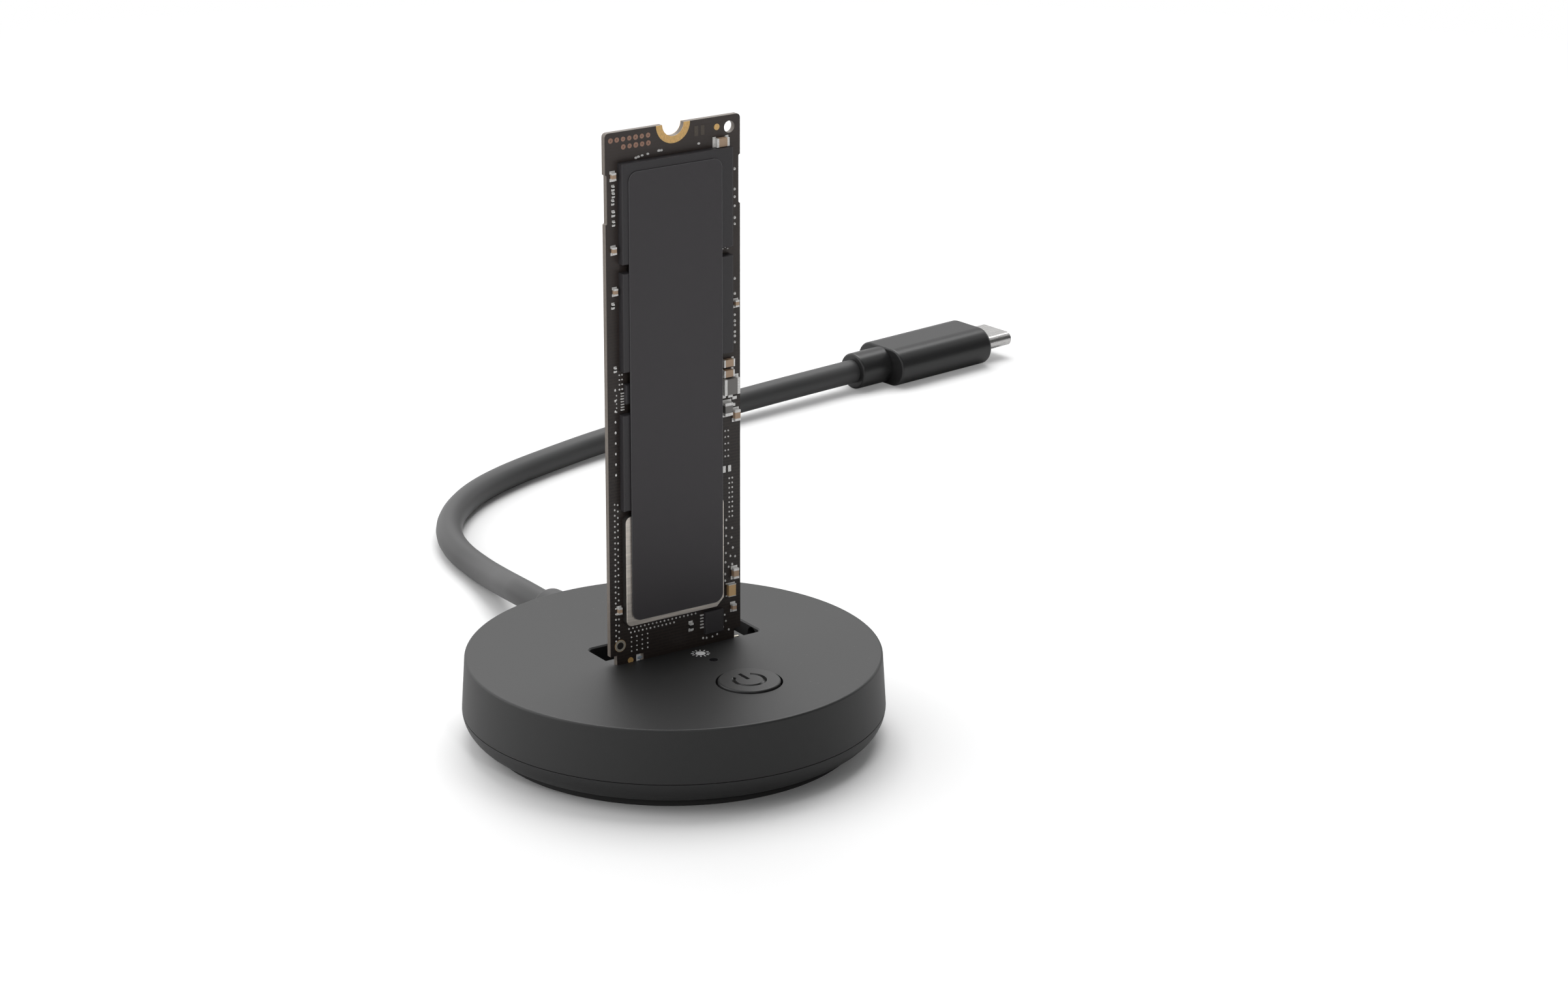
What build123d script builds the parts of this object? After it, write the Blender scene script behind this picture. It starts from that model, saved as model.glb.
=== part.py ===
"""A round docking station for a bare solid-state drive card, with its short cable.

Millimetres, +Z up. The origin is on the floor under the centre of the round body.
X runs along the drive slot, -Y is the side with the power button, and the cable leaves at +Y.
"""

import os
from math import cos, pi, radians, sin, sqrt, tan

from build123d import *

os.makedirs("parts", exist_ok=True)

# Round body
dock_height = 12.6
seam_radius = 30.4
seam_height = 4.7
seam_gap = 0.05
seam_chamfer = 0.06
wall_lean = 0.5
wall = 1.6
top_plate = 1.8
base_plate = 1.6
rim_fillet = 0.35
base_edge_reach = 3.7
lip_height = 1.3
lip_thickness = 0.8
lip_clearance = 0.15

# Anti-slip ring under the body
foot_overhang = 0.1
foot_width = 5.2
foot_stand = 1.2
foot_recess = 0.4
foot_clearance = 0.1

# Row of features along the button, the light and the slot
row_x = 2.4

# Drive slot in the top face and the well below it
slot_width = 24.9
slot_front_y = -0.25
slot_depth = 7.65
slot_corner = 1.0
slot_chamfer = 0.2
well_drop = 4.6
well_wall = 1.0
well_floor = 0.8
well_hole_radius = 1.1
well_hole_y = 2.2
well_hole_drop = 1.4
well_hole_depth = 2.4

# Power button
button_rim_distance = 14.5
button_hole_radius = 4.75
button_gap = 0.3
button_proud = 0.3
button_fillet = 0.25
button_flange = 0.65
button_flange_height = 0.7
button_play = 0.1
button_stem_radius = 1.6
button_travel = 0.3

# Tactile switch under the button
switch_size = 6.0
switch_drop = 3.8
plunger_radius = 1.7
plunger_stand = 0.5
plunger_depth = 0.6
plunger_clearance = 0.1

# Status light
light_x = 2.8
light_y = -6.1
light_radius = 0.6
light_clearance = 0.02
light_flange_radius = 1.2
light_flange_height = 0.6
led_length = 1.6
led_width = 0.8
led_height = 0.6
led_air = 0.4

# Main board and its four screws
board_rim_gap = 0.3
board_thickness = 1.0
board_lift = 1.6
board_screw_inset = 2.67
board_screw_angle = 34.9
standoff_radius = 2.0
board_screw_radius = 0.75
board_screw_head_radius = 1.6
board_screw_head_height = 1.0
board_screw_bite = 2.0
screw_hole_clearance = 0.15
thread_clearance = 0.02
socket_depth_share = 0.55

# Screws that hold the two shells together
shell_screw_count = 3
shell_screw_inset = 2.4
shell_screw_radius = 1.0
shell_screw_head_radius = 1.9
shell_screw_head_height = 1.3
shell_screw_length = 6.0
shell_boss_radius = 2.2
base_boss_radius = 2.9
boss_joint_height = 4.6
boss_gap = 0.05
first_screw_angle = -90

# Card of the drive, with the standard outline of the 22 by 80 size
card_width = 22.0
card_length = 80.0
card_layout_length = 80.0
card_thickness = 0.8
card_x = 0.4
card_front_y = 0.0
card_insertion = 2.74
tongue_width = 19.85
tongue_length = 4.0
tongue_corner = 0.4
key_offset = -6.125
key_width = 1.2
key_depth = 3.5
card_corner = 0.6
mount_notch_radius = 1.75
mount_ring_width = 1.0
edge_recess_depth = 0.25
edge_recess_length = 7.0
edge_recess_height = 70.7
top_hole_radius = 0.85
top_hole_place = (9.22, 78.3)
low_hole_radius = 0.55
low_hole_place = (-9.38, 5.4)
plating = 0.04
low_ring_width = 0.35
fiducial_radius = 0.45
fiducial_top = (7.15, 78.55)
fiducial_low = (-7.68, 2.85)

# Gold contacts along the tongue
finger_pitch = 0.5
finger_width = 0.35
finger_length = 2.0
finger_setback = 0.3
finger_reach = 9.4
finger_key_clear = 0.95

# Packages on the card, measured from its lower end on a card of the layout's length
package_height = 1.2
package_chamfer = 0.08
flash_size = (18.1, 14.2)
flash_upper_centre = (0.05, 68.6)
flash_lower_centre = (0.05, 53.15)
memory_size = (16.0, 14.1)
memory_centre = (-1.1, 32.75)
memory_height = 1.05
lid_size = 16.4
lid_centre = (-0.65, 16.6)
lid_corner = 0.9
lid_cut_corner = 1.2
lid_height = 1.05
lid_sheet = 0.3
lid_rim = 0.8
controller_size = 12.0
label_size = (15.25, 65.3)
label_centre = (-0.43, 41.85)
label_corner = 1.4
label_thickness = 0.12
converter_size = (4.6, 2.8)
converter_centre = (-6.1, 42.7)
converter_height = 0.8
supply_size = (3.0, 3.4)
supply_centre = (6.2, 6.0)
supply_height = 0.7
coil_size = (2.5, 2.2)
coil_centre = (9.05, 40.9)
coil_height = 1.0
cap_height = 0.7
wide_caps = [(7.75, 76.4), (8.76, 44.35), (8.76, 42.8)]
wide_cap_size = (1.8, 1.1)
tall_caps = [(8.65, 37.55), (10.15, 36.4), (9.24, 10.15)]
tall_cap_size = (1.1, 1.8)
small_caps = [(-9.86, 73.95), (-9.85, 63.5), (-9.71, 57.6), (-10.1, 56.0), (10.24, 52.8), (9.9, 12.6),
              (9.67, 7.4), (-9.55, 10.8), (2.45, 5.9)]
small_cap_size = (0.6, 1.0)

# Card connector on the main board
connector_width = 24.0
connector_front_y = -1.35
connector_back_y = 3.0
connector_step_drop = 1.1
connector_lip_drop = 0.5
connector_clearance = 0.15
cavity_clearance = 0.1
cavity_wall_gap = 0.16
key_rib_width = 1.0
blade_thickness = 0.06
blade_width = 0.22
blade_length = 1.3
tail_length = 0.8
tail_height = 0.2

# Parts on the main board
bridge_size = 9.0
bridge_height = 0.9
bridge_x = -4.6
bridge_rim_distance = 8.1
chip_chamfer = 0.15
choke_size = 4.0
choke_height = 2.0
choke_x = 8.2
choke_rim_distance = 7.6
choke_corner = 0.5
crystal_size = (3.2, 2.5)
crystal_height = 0.7
crystal_x = -11.6
crystal_rim_distance = 6.6
regulator_size = 3.4
regulator_height = 0.85
regulator_centre = (8.5, -6.5)
board_cap_size = (1.6, 0.8)
board_cap_height = 0.8
board_cap_rows = 4
board_cap_columns = 2
board_cap_pitch = (2.6, 1.7)
board_cap_centre = (-6.5, -6.5)

# Strain relief at the back
relief_z = 6.4
relief_radius = 3.7
relief_end_radius = 3.15
relief_reach = 8.6
relief_flange_radius = 4.1
relief_flange_thickness = 1.2
relief_flange_setback = 1.1
relief_clearance = 0.05
relief_end_fillet = 0.4

# Cable and its conductors
cable_diameter = 4.3
conductor_radius = 0.4
conductor_count = 5
conductor_pitch = 1.0
conductor_on_board = 3.0
cable_lead = 7.0
cable_straight_end = 11.0
cable_bend_share = 0.45

# Plug of the cable, lying on the floor
plug_entry = (115.0, 119.7)
plug_heading = 6.7
plug_collar_length = 6.9
plug_collar_radius = 3.3
plug_length = 22.4
plug_width = 12.4
plug_thickness = 6.9
plug_fillet = 0.7
plug_rear_fillet = 0.35
shell_width = 8.34
shell_thickness = 2.56
shell_length = 6.65
shell_wall = 0.28
tongue_bay_width = 6.3
tongue_bay_thickness = 0.8
tongue_bay_depth = 5.2
contact_count = 12
contact_pitch = 0.5
contact_width = 0.25
contact_thickness = 0.06
contact_length = 3.6

# Radii that follow from the body's own, from the outside in
top_radius = seam_radius - wall_lean
base_flat_radius = seam_radius - base_edge_reach
inner_radius = seam_radius - wall
foot_outer_radius = base_flat_radius + foot_overhang
foot_inner_radius = foot_outer_radius - foot_width
shell_screw_circle = foot_outer_radius - shell_screw_inset
board_radius = shell_screw_circle - base_boss_radius - board_rim_gap
board_screw_circle = board_radius - board_screw_inset
board_screw_x = board_screw_circle * cos(radians(board_screw_angle))
board_screw_y = board_screw_circle * sin(radians(board_screw_angle))

# Levels and places that follow from the sizes above
button_y = button_rim_distance - seam_radius
bridge_centre = (bridge_x, board_radius - bridge_rim_distance)
choke_centre = (choke_x, board_radius - choke_rim_distance)
crystal_centre = (crystal_x, board_radius - crystal_rim_distance)
relief_end_y = seam_radius + relief_reach
base_bottom = foot_stand
base_floor = base_bottom + base_plate
ceiling = dock_height - top_plate
board_bottom = base_floor + board_lift
board_top = board_bottom + board_thickness
switch_height = dock_height - board_top - switch_drop
card_stretch = card_length / card_layout_length
slot_back_y = slot_front_y + slot_depth
slot_y = slot_front_y + slot_depth / 2
slot_left = row_x - slot_width / 2
slot_right = row_x + slot_width / 2
card_bottom = dock_height - card_insertion
card_back_y = card_front_y + card_thickness
button_radius = button_hole_radius - button_gap
plunger_top = board_top + switch_height + plunger_stand
connector_top = dock_height - connector_step_drop
connector_right = card_x + connector_width / 2
well_end_x = connector_right + connector_clearance
connector_lip = dock_height - connector_lip_drop
cavity_front_y = card_front_y - cavity_wall_gap
cavity_back_y = card_back_y + cavity_wall_gap
plug_axis_z = plug_thickness / 2
cable_radius = cable_diameter / 2
relief_flange_reach = row_x + relief_flange_radius
relief_flange_y = sqrt(inner_radius**2 - relief_flange_reach**2) - relief_flange_setback
well_floor_top = dock_height - well_drop
well_back_y = connector_back_y + connector_clearance
plug_shell_start = plug_collar_length + plug_length

# Planes and alignments for sketches
from_corner = (Align.MIN, Align.MIN)
from_foot = (Align.CENTER, Align.MIN)
card_face = Plane(origin=(card_x, card_front_y, card_bottom), x_dir=(1, 0, 0), z_dir=(0, -1, 0))
card_rear = Plane(origin=(card_x, card_back_y, card_bottom), x_dir=(1, 0, 0), z_dir=(0, -1, 0))
plug_direction = Vector(1, 0, 0).rotate(Axis.Z, plug_heading)
plug_start = Vector(plug_entry[0], plug_entry[1], plug_axis_z)


def plug_plane(distance):
    """The plane across the plug at a distance from where the cable enters it."""
    across = plug_direction.rotate(Axis.Z, -90)
    return Plane(origin=plug_start + plug_direction * distance, x_dir=across, z_dir=plug_direction)


def finger_places(shift):
    """Where the contacts of one face stand along the tongue, with a gap at the key notch."""
    steps = round(2 * finger_reach / finger_pitch)
    places = [key_offset + shift + step * finger_pitch for step in range(-steps, steps + 1)]
    return [x for x in places if abs(x) <= finger_reach and abs(x - key_offset) > finger_key_clear]


def laid_out(*places):
    """Places on the card, moved along it when its length differs from the layout's."""
    return [(x, height * card_stretch) for x, height in places]


front_fingers = finger_places(finger_pitch / 2)
back_fingers = finger_places(0)


# Upper shell of the body: a shallow cup with the slot, its well and the screw bosses
with BuildPart() as top_shell:
    with BuildSketch(Plane.XZ):
        with BuildLine():
            Polyline(
                (0, dock_height),
                (top_radius, dock_height),
                (seam_radius, seam_height + seam_gap / 2 + seam_chamfer),
                (seam_radius - seam_chamfer, seam_height + seam_gap / 2),
                (inner_radius, seam_height + seam_gap / 2),
                (top_radius - wall, ceiling),
                (0, ceiling),
                close=True,
            )
        make_face()
    revolve(axis=Axis.Z)
    fillet(top_shell.edges().filter_by(GeomType.CIRCLE).group_by(Axis.Z)[-1], rim_fillet)
    with BuildSketch(Plane.XY.offset(well_floor_top - well_floor)):
        with Locations((slot_left - well_wall, well_back_y)):
            Rectangle(slot_width + 2 * well_wall, slot_back_y + well_wall - well_back_y, align=from_corner)
        with Locations((well_end_x, slot_front_y - well_wall)):
            Rectangle(slot_right + well_wall - well_end_x, slot_depth + 2 * well_wall, align=from_corner)
    extrude(amount=ceiling - well_floor_top + well_floor)
    with BuildSketch(Plane.XY.offset(boss_joint_height)):
        with PolarLocations(shell_screw_circle, shell_screw_count, start_angle=first_screw_angle):
            Circle(shell_boss_radius)
    extrude(amount=ceiling + top_plate / 2 - boss_joint_height)
    with BuildSketch(Plane.XY.offset(boss_joint_height)):
        with PolarLocations(shell_screw_circle, shell_screw_count, start_angle=first_screw_angle):
            Circle(shell_screw_radius + thread_clearance)
    extrude(amount=shell_screw_length - shell_screw_radius, mode=Mode.SUBTRACT)
    with BuildSketch(Plane.XY.offset(dock_height)):
        with Locations((row_x, slot_y)):
            RectangleRounded(slot_width, slot_depth, slot_corner)
    extrude(amount=-top_plate, mode=Mode.SUBTRACT)
    with BuildSketch(Plane.XY.offset(well_floor_top)):
        with Locations((slot_left, well_back_y)):
            Rectangle(slot_width, slot_back_y - well_back_y, align=from_corner)
        with Locations((well_end_x, slot_front_y)):
            Rectangle(slot_right - well_end_x, slot_depth, align=from_corner)
    extrude(amount=ceiling - well_floor_top, mode=Mode.SUBTRACT)
    with BuildSketch(Plane.XY.offset(ceiling)):
        with Locations((card_x, (connector_front_y + connector_back_y) / 2)):
            Rectangle(
                connector_width + 2 * connector_clearance,
                connector_back_y - connector_front_y + 2 * connector_clearance,
            )
    extrude(amount=connector_top - ceiling + cavity_clearance, mode=Mode.SUBTRACT)
    with BuildSketch(Plane.XY.offset(dock_height)):
        with Locations((row_x, button_y)):
            Circle(button_hole_radius)
        with Locations((light_x, light_y)):
            Circle(light_radius + light_clearance)
    extrude(amount=-top_plate, mode=Mode.SUBTRACT)
    with BuildSketch(Plane.YZ.offset(slot_right)):
        with Locations((well_hole_y, dock_height - well_hole_drop)):
            Circle(well_hole_radius)
    extrude(amount=well_hole_depth, mode=Mode.SUBTRACT)
    with BuildSketch(Plane.XZ.offset(-relief_end_y)):
        with Locations((row_x, relief_z)):
            Circle(relief_radius + relief_clearance)
    extrude(amount=relief_end_y - relief_flange_y, mode=Mode.SUBTRACT)
    slot_rim = top_shell.edges().group_by(Axis.Z)[-1].filter_by(GeomType.LINE)
    chamfer(slot_rim, slot_chamfer)
top_shell.part.label = "top_shell"
export_step(top_shell.part, "parts/top_shell.step")

# Lower shell: a dish with a rounded edge, a lip, standoffs and screw bosses
lip_radius = inner_radius - lip_clearance
seam_floor = seam_height - seam_gap / 2
with BuildPart() as base_shell:
    with BuildSketch(Plane.XZ):
        with BuildLine():
            Line((0, base_bottom), (base_flat_radius, base_bottom))
            TangentArc((base_flat_radius, base_bottom), (seam_radius, seam_floor), tangent=(1, 0))
            Polyline(
                (seam_radius, seam_floor),
                (lip_radius, seam_floor),
                (lip_radius, seam_height + lip_height),
                (lip_radius - lip_thickness, seam_height + lip_height),
                (lip_radius - lip_thickness, base_floor),
                (0, base_floor),
                (0, base_bottom),
            )
        make_face()
    revolve(axis=Axis.Z)
    with BuildSketch(Plane.XY.offset(base_bottom)):
        Circle(foot_outer_radius + foot_clearance)
        Circle(foot_inner_radius - foot_clearance, mode=Mode.SUBTRACT)
    extrude(amount=foot_recess, mode=Mode.SUBTRACT)
    with BuildSketch(Plane.XY.offset(base_floor)):
        with PolarLocations(shell_screw_circle, shell_screw_count, start_angle=first_screw_angle):
            Circle(base_boss_radius)
    extrude(amount=boss_joint_height - boss_gap - base_floor)
    with BuildSketch(Plane.XY.offset(base_floor)):
        with GridLocations(2 * board_screw_x, 2 * board_screw_y, 2, 2):
            Circle(standoff_radius)
    extrude(amount=board_lift)
    with BuildSketch(Plane.XY.offset(board_bottom)):
        with GridLocations(2 * board_screw_x, 2 * board_screw_y, 2, 2):
            Circle(board_screw_radius + thread_clearance)
    extrude(amount=-board_screw_bite, mode=Mode.SUBTRACT)
    with BuildSketch(Plane.XY.offset(base_bottom)):
        with PolarLocations(shell_screw_circle, shell_screw_count, start_angle=first_screw_angle):
            Circle(shell_screw_head_radius + screw_hole_clearance)
    extrude(amount=foot_recess + shell_screw_head_height, mode=Mode.SUBTRACT)
    with BuildSketch(Plane.XY.offset(base_bottom)):
        with PolarLocations(shell_screw_circle, shell_screw_count, start_angle=first_screw_angle):
            Circle(shell_screw_radius + screw_hole_clearance)
    extrude(amount=boss_joint_height - base_bottom, mode=Mode.SUBTRACT)
    with BuildSketch(Plane.XZ.offset(-relief_end_y)):
        with Locations((row_x, relief_z)):
            Circle(relief_radius + relief_clearance)
    extrude(amount=relief_end_y - relief_flange_y, mode=Mode.SUBTRACT)
    with BuildSketch(Plane.XZ.offset(-relief_flange_y)):
        with Locations((row_x, relief_z)):
            Circle(relief_flange_radius + relief_clearance)
    extrude(amount=relief_flange_thickness + relief_clearance, mode=Mode.SUBTRACT)
base_shell.part.label = "base_shell"
export_step(base_shell.part, "parts/base_shell.step")

# Anti-slip ring
with BuildPart() as foot_ring:
    with BuildSketch(Plane.XY):
        Circle(foot_outer_radius)
        Circle(foot_inner_radius, mode=Mode.SUBTRACT)
    extrude(amount=foot_stand + foot_recess)
    chamfer(foot_ring.edges().group_by(Axis.Z)[0], foot_recess / 2)
foot_ring.part.label = "foot_ring"
export_step(foot_ring.part, "parts/foot_ring.step")


def export_screw(name, place, head_plane, head_radius, head_height, radius, length):
    """A screw with a cylindrical head and a hexagonal socket; the head stands on the given plane."""
    with BuildPart() as screw:
        with BuildSketch(head_plane):
            with Locations(place):
                Circle(head_radius)
        extrude(amount=head_height)
        with BuildSketch(head_plane):
            with Locations(place):
                Circle(radius)
        extrude(amount=-length)
        with BuildSketch(head_plane.offset(head_height)):
            with Locations(place):
                RegularPolygon(radius, 6)
        extrude(amount=-head_height * socket_depth_share, mode=Mode.SUBTRACT)
    screw.part.label = name
    export_step(screw.part, f"parts/{name}.step")


# Screws between the two shells, with their heads sunk in counterbores from below
head_seat = Plane.XY.offset(base_bottom + foot_recess + shell_screw_head_height)
facing_down = Plane(origin=head_seat.origin, x_dir=(1, 0, 0), z_dir=(0, 0, -1))
for number in range(shell_screw_count):
    angle = first_screw_angle + number * 360 / shell_screw_count
    place = Vector(shell_screw_circle, 0).rotate(Axis.Z, -angle)
    export_screw(
        f"shell_screw_{number + 1}",
        (place.X, place.Y),
        facing_down,
        shell_screw_head_radius,
        shell_screw_head_height,
        shell_screw_radius,
        shell_screw_length,
    )

# Main circuit board
with BuildPart() as main_board:
    with BuildSketch(Plane.XY.offset(board_bottom)):
        Circle(board_radius)
        with GridLocations(2 * board_screw_x, 2 * board_screw_y, 2, 2):
            Circle(board_screw_radius + screw_hole_clearance, mode=Mode.SUBTRACT)
    extrude(amount=board_thickness)
main_board.part.label = "main_board"
export_step(main_board.part, "parts/main_board.step")

# Screws of the main board
for number, (side_x, side_y) in enumerate([(-1, -1), (1, -1), (1, 1), (-1, 1)]):
    export_screw(
        f"board_screw_{number + 1}",
        (side_x * board_screw_x, side_y * board_screw_y),
        Plane.XY.offset(board_top),
        board_screw_head_radius,
        board_screw_head_height,
        board_screw_radius,
        board_thickness + board_screw_bite - 2 * thread_clearance,
    )

# Card connector: a block with a narrow cavity, a taller rear lip, end cheeks and the key rib
half_tongue_bay = tongue_width / 2 + cavity_clearance
key_x = card_x + key_offset
with BuildPart() as connector_housing:
    with BuildSketch(Plane.XY.offset(board_top)):
        with Locations((card_x, (connector_front_y + connector_back_y) / 2)):
            Rectangle(connector_width, connector_back_y - connector_front_y)
    extrude(amount=connector_top - board_top)
    with BuildSketch(Plane.XY.offset(connector_top)):
        with Locations((row_x, slot_y)):
            RectangleRounded(
                slot_width - 2 * connector_clearance,
                slot_depth - 2 * connector_clearance,
                slot_corner - connector_clearance,
            )
        with Locations((slot_left, cavity_front_y)):
            Rectangle(
                connector_right - slot_left,
                connector_back_y - cavity_front_y,
                align=from_corner,
                mode=Mode.INTERSECT,
            )
    extrude(amount=connector_lip - connector_top)
    with BuildSketch(Plane.XY.offset(card_bottom - cavity_clearance)):
        with Locations((card_x, (cavity_front_y + cavity_back_y) / 2)):
            Rectangle(2 * half_tongue_bay, cavity_back_y - cavity_front_y)
        with Locations((key_x, (cavity_front_y + cavity_back_y) / 2)):
            Rectangle(key_rib_width, cavity_back_y - cavity_front_y, mode=Mode.SUBTRACT)
    extrude(amount=connector_lip - card_bottom + cavity_clearance, mode=Mode.SUBTRACT)
connector_housing.part.label = "connector_housing"
export_step(connector_housing.part, "parts/connector_housing.step")

# Contacts of the connector: a blade in the cavity and a tail on the board for each
blade_bottom = card_bottom
with BuildPart() as connector_contacts:
    with BuildSketch(Plane.XY.offset(blade_bottom)):
        with Locations([(card_x + x, cavity_front_y + blade_thickness / 2) for x in front_fingers]):
            Rectangle(blade_width, blade_thickness)
        with Locations([(card_x + x, cavity_back_y - blade_thickness / 2) for x in back_fingers]):
            Rectangle(blade_width, blade_thickness)
    extrude(amount=blade_length)
    with BuildSketch(Plane.XY.offset(board_top)):
        with Locations([(card_x + x, connector_front_y - tail_length / 2) for x in front_fingers]):
            Rectangle(blade_width, tail_length)
        with Locations([(card_x + x, connector_back_y + tail_length / 2) for x in back_fingers]):
            Rectangle(blade_width, tail_length)
    extrude(amount=tail_height)
connector_contacts.part.label = "connector_contacts"
export_step(connector_contacts.part, "parts/connector_contacts.step")

# Bridge chip between the cable and the drive
with BuildPart() as bridge_chip:
    with BuildSketch(Plane.XY.offset(board_top)):
        with Locations(bridge_centre):
            Rectangle(bridge_size, bridge_size)
    extrude(amount=bridge_height)
    chamfer(bridge_chip.edges().group_by(Axis.Z)[-1], chip_chamfer)
bridge_chip.part.label = "bridge_chip"
export_step(bridge_chip.part, "parts/bridge_chip.step")

# Choke of the power supply
with BuildPart() as power_choke:
    with BuildSketch(Plane.XY.offset(board_top)):
        with Locations(choke_centre):
            RectangleRounded(choke_size, choke_size, choke_corner)
    extrude(amount=choke_height)
power_choke.part.label = "power_choke"
export_step(power_choke.part, "parts/power_choke.step")

# Crystal can
with BuildPart() as crystal:
    with BuildSketch(Plane.XY.offset(board_top)):
        with Locations(crystal_centre):
            RectangleRounded(crystal_size[0], crystal_size[1], crystal_height / 2)
    extrude(amount=crystal_height)
crystal.part.label = "crystal"
export_step(crystal.part, "parts/crystal.step")

# Voltage regulator
with BuildPart() as regulator_chip:
    with BuildSketch(Plane.XY.offset(board_top)):
        with Locations(regulator_centre):
            Rectangle(regulator_size, regulator_size)
    extrude(amount=regulator_height)
    chamfer(regulator_chip.edges().group_by(Axis.Z)[-1], chip_chamfer)
regulator_chip.part.label = "regulator_chip"
export_step(regulator_chip.part, "parts/regulator_chip.step")

# Capacitors of the main board
with BuildPart() as board_capacitors:
    with BuildSketch(Plane.XY.offset(board_top)):
        with Locations(board_cap_centre):
            with GridLocations(board_cap_pitch[0], board_cap_pitch[1], board_cap_columns, board_cap_rows):
                Rectangle(*board_cap_size)
    extrude(amount=board_cap_height)
board_capacitors.part.label = "board_capacitors"
export_step(board_capacitors.part, "parts/board_capacitors.step")

# Body of the tactile switch
with BuildPart() as switch_body:
    with BuildSketch(Plane.XY.offset(board_top)):
        with Locations((row_x, button_y)):
            RectangleRounded(switch_size, switch_size, plunger_stand)
    extrude(amount=switch_height)
    with BuildSketch(Plane.XY.offset(board_top + switch_height)):
        with Locations((row_x, button_y)):
            Circle(plunger_radius + plunger_clearance)
    extrude(amount=-plunger_depth - button_travel - plunger_clearance, mode=Mode.SUBTRACT)
switch_body.part.label = "switch_body"
export_step(switch_body.part, "parts/switch_body.step")

# Plunger of the switch, which the button's stem pushes
with BuildPart() as switch_plunger:
    with BuildSketch(Plane.XY.offset(plunger_top)):
        with Locations((row_x, button_y)):
            Circle(plunger_radius)
    extrude(amount=-plunger_stand - plunger_depth)
switch_plunger.part.label = "switch_plunger"
export_step(switch_plunger.part, "parts/switch_plunger.step")

# Power button: a disc with a retaining flange below the plate and a stem on the plunger
flange_top = ceiling - button_play
with BuildPart() as power_button:
    with BuildSketch(Plane.XY.offset(flange_top)):
        with Locations((row_x, button_y)):
            Circle(button_radius)
    extrude(amount=dock_height + button_proud - flange_top)
    fillet(power_button.edges().group_by(Axis.Z)[-1], button_fillet)
    with BuildSketch(Plane.XY.offset(flange_top)):
        with Locations((row_x, button_y)):
            Circle(button_hole_radius + button_flange)
    extrude(amount=-button_flange_height)
    with BuildSketch(Plane.XY.offset(plunger_top)):
        with Locations((row_x, button_y)):
            Circle(button_stem_radius)
    extrude(amount=flange_top - plunger_top)
power_button.part.label = "power_button"
export_step(power_button.part, "parts/power_button.step")

# Light guide of the status light, hung from the top plate by its flange
led_top = board_top + led_height
with BuildPart() as light_guide:
    with BuildSketch(Plane.XY.offset(led_top + led_air)):
        with Locations((light_x, light_y)):
            Circle(light_radius)
    extrude(amount=dock_height - led_top - led_air)
    with BuildSketch(Plane.XY.offset(ceiling)):
        with Locations((light_x, light_y)):
            Circle(light_flange_radius)
    extrude(amount=-light_flange_height)
light_guide.part.label = "light_guide"
export_step(light_guide.part, "parts/light_guide.step")

# Light-emitting diode on the board
with BuildPart() as status_led:
    with BuildSketch(Plane.XY.offset(board_top)):
        with Locations((light_x, light_y)):
            Rectangle(led_length, led_width)
    extrude(amount=led_height)
status_led.part.label = "status_led"
export_step(status_led.part, "parts/status_led.step")

# Strain relief: a tapered sleeve with a flange held inside the wall
with BuildPart() as strain_relief:
    with BuildSketch(Plane.XZ.offset(-relief_flange_y)):
        with Locations((row_x, relief_z)):
            Circle(relief_flange_radius)
    extrude(amount=relief_flange_thickness)
    with BuildSketch(Plane.XZ.offset(-relief_flange_y)):
        with Locations((row_x, relief_z)):
            Circle(relief_radius)
    extrude(amount=relief_flange_y - seam_radius)
    with BuildSketch(Plane.XZ.offset(-seam_radius)):
        with Locations((row_x, relief_z)):
            Circle(relief_radius)
    with BuildSketch(Plane.XZ.offset(-relief_end_y)):
        with Locations((row_x, relief_z)):
            Circle(relief_end_radius)
    loft()
    fillet(strain_relief.edges().group_by(Axis.Y)[-1], relief_end_fillet)
strain_relief.part.label = "strain_relief"
export_step(strain_relief.part, "parts/strain_relief.step")

# Conductors from the strain relief to the board
conductor_start_y = sqrt(board_radius**2 - row_x**2) - conductor_on_board
conductor_end_y = relief_flange_y - relief_flange_thickness
with BuildPart() as cable_conductors:
    with BuildSketch(Plane.XZ.offset(-conductor_start_y)):
        with Locations((row_x, board_top + conductor_radius)):
            with GridLocations(conductor_pitch, conductor_pitch, conductor_count, 1):
                Circle(conductor_radius)
    extrude(amount=conductor_start_y - conductor_end_y)
cable_conductors.part.label = "cable_conductors"
export_step(cable_conductors.part, "parts/cable_conductors.step")

# Route of the cable: out of the relief, down to the floor and round to the plug
cable_route = [
    (row_x, relief_end_y, relief_z),
    (row_x, relief_end_y + cable_lead, relief_z),
    (3.9, 53.0, 5.2),
    (6.0, 60.5, 3.6),
    (7.8, 69.0, 2.35),
    (9.1, 78.5, cable_radius),
    (11.9, 86.8, cable_radius),
    (17.2, 94.7, cable_radius),
    (24.9, 101.7, cable_radius),
    (34.6, 106.8, cable_radius),
    (45.2, 110.3, cable_radius),
    (56.1, 113.2, 2.3),
    (69.0, 114.9, 2.8),
    (81.0, 115.9, 3.15),
    (93.0, 117.2, 3.37),
    tuple(plug_start - plug_direction * cable_straight_end),
    tuple(plug_start),
]
route = [Vector(*point) for point in cable_route]
cable_radii = []
for before, corner, after in zip(route, route[1:], route[2:]):
    half_turn = radians((corner - before).get_angle(after - corner)) / 2
    shorter_run = min((corner - before).length, (after - corner).length)
    cable_radii.append(cable_bend_share * shorter_run / tan(half_turn))
print("cable bend radii", [round(radius, 1) for radius in cable_radii])
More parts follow.
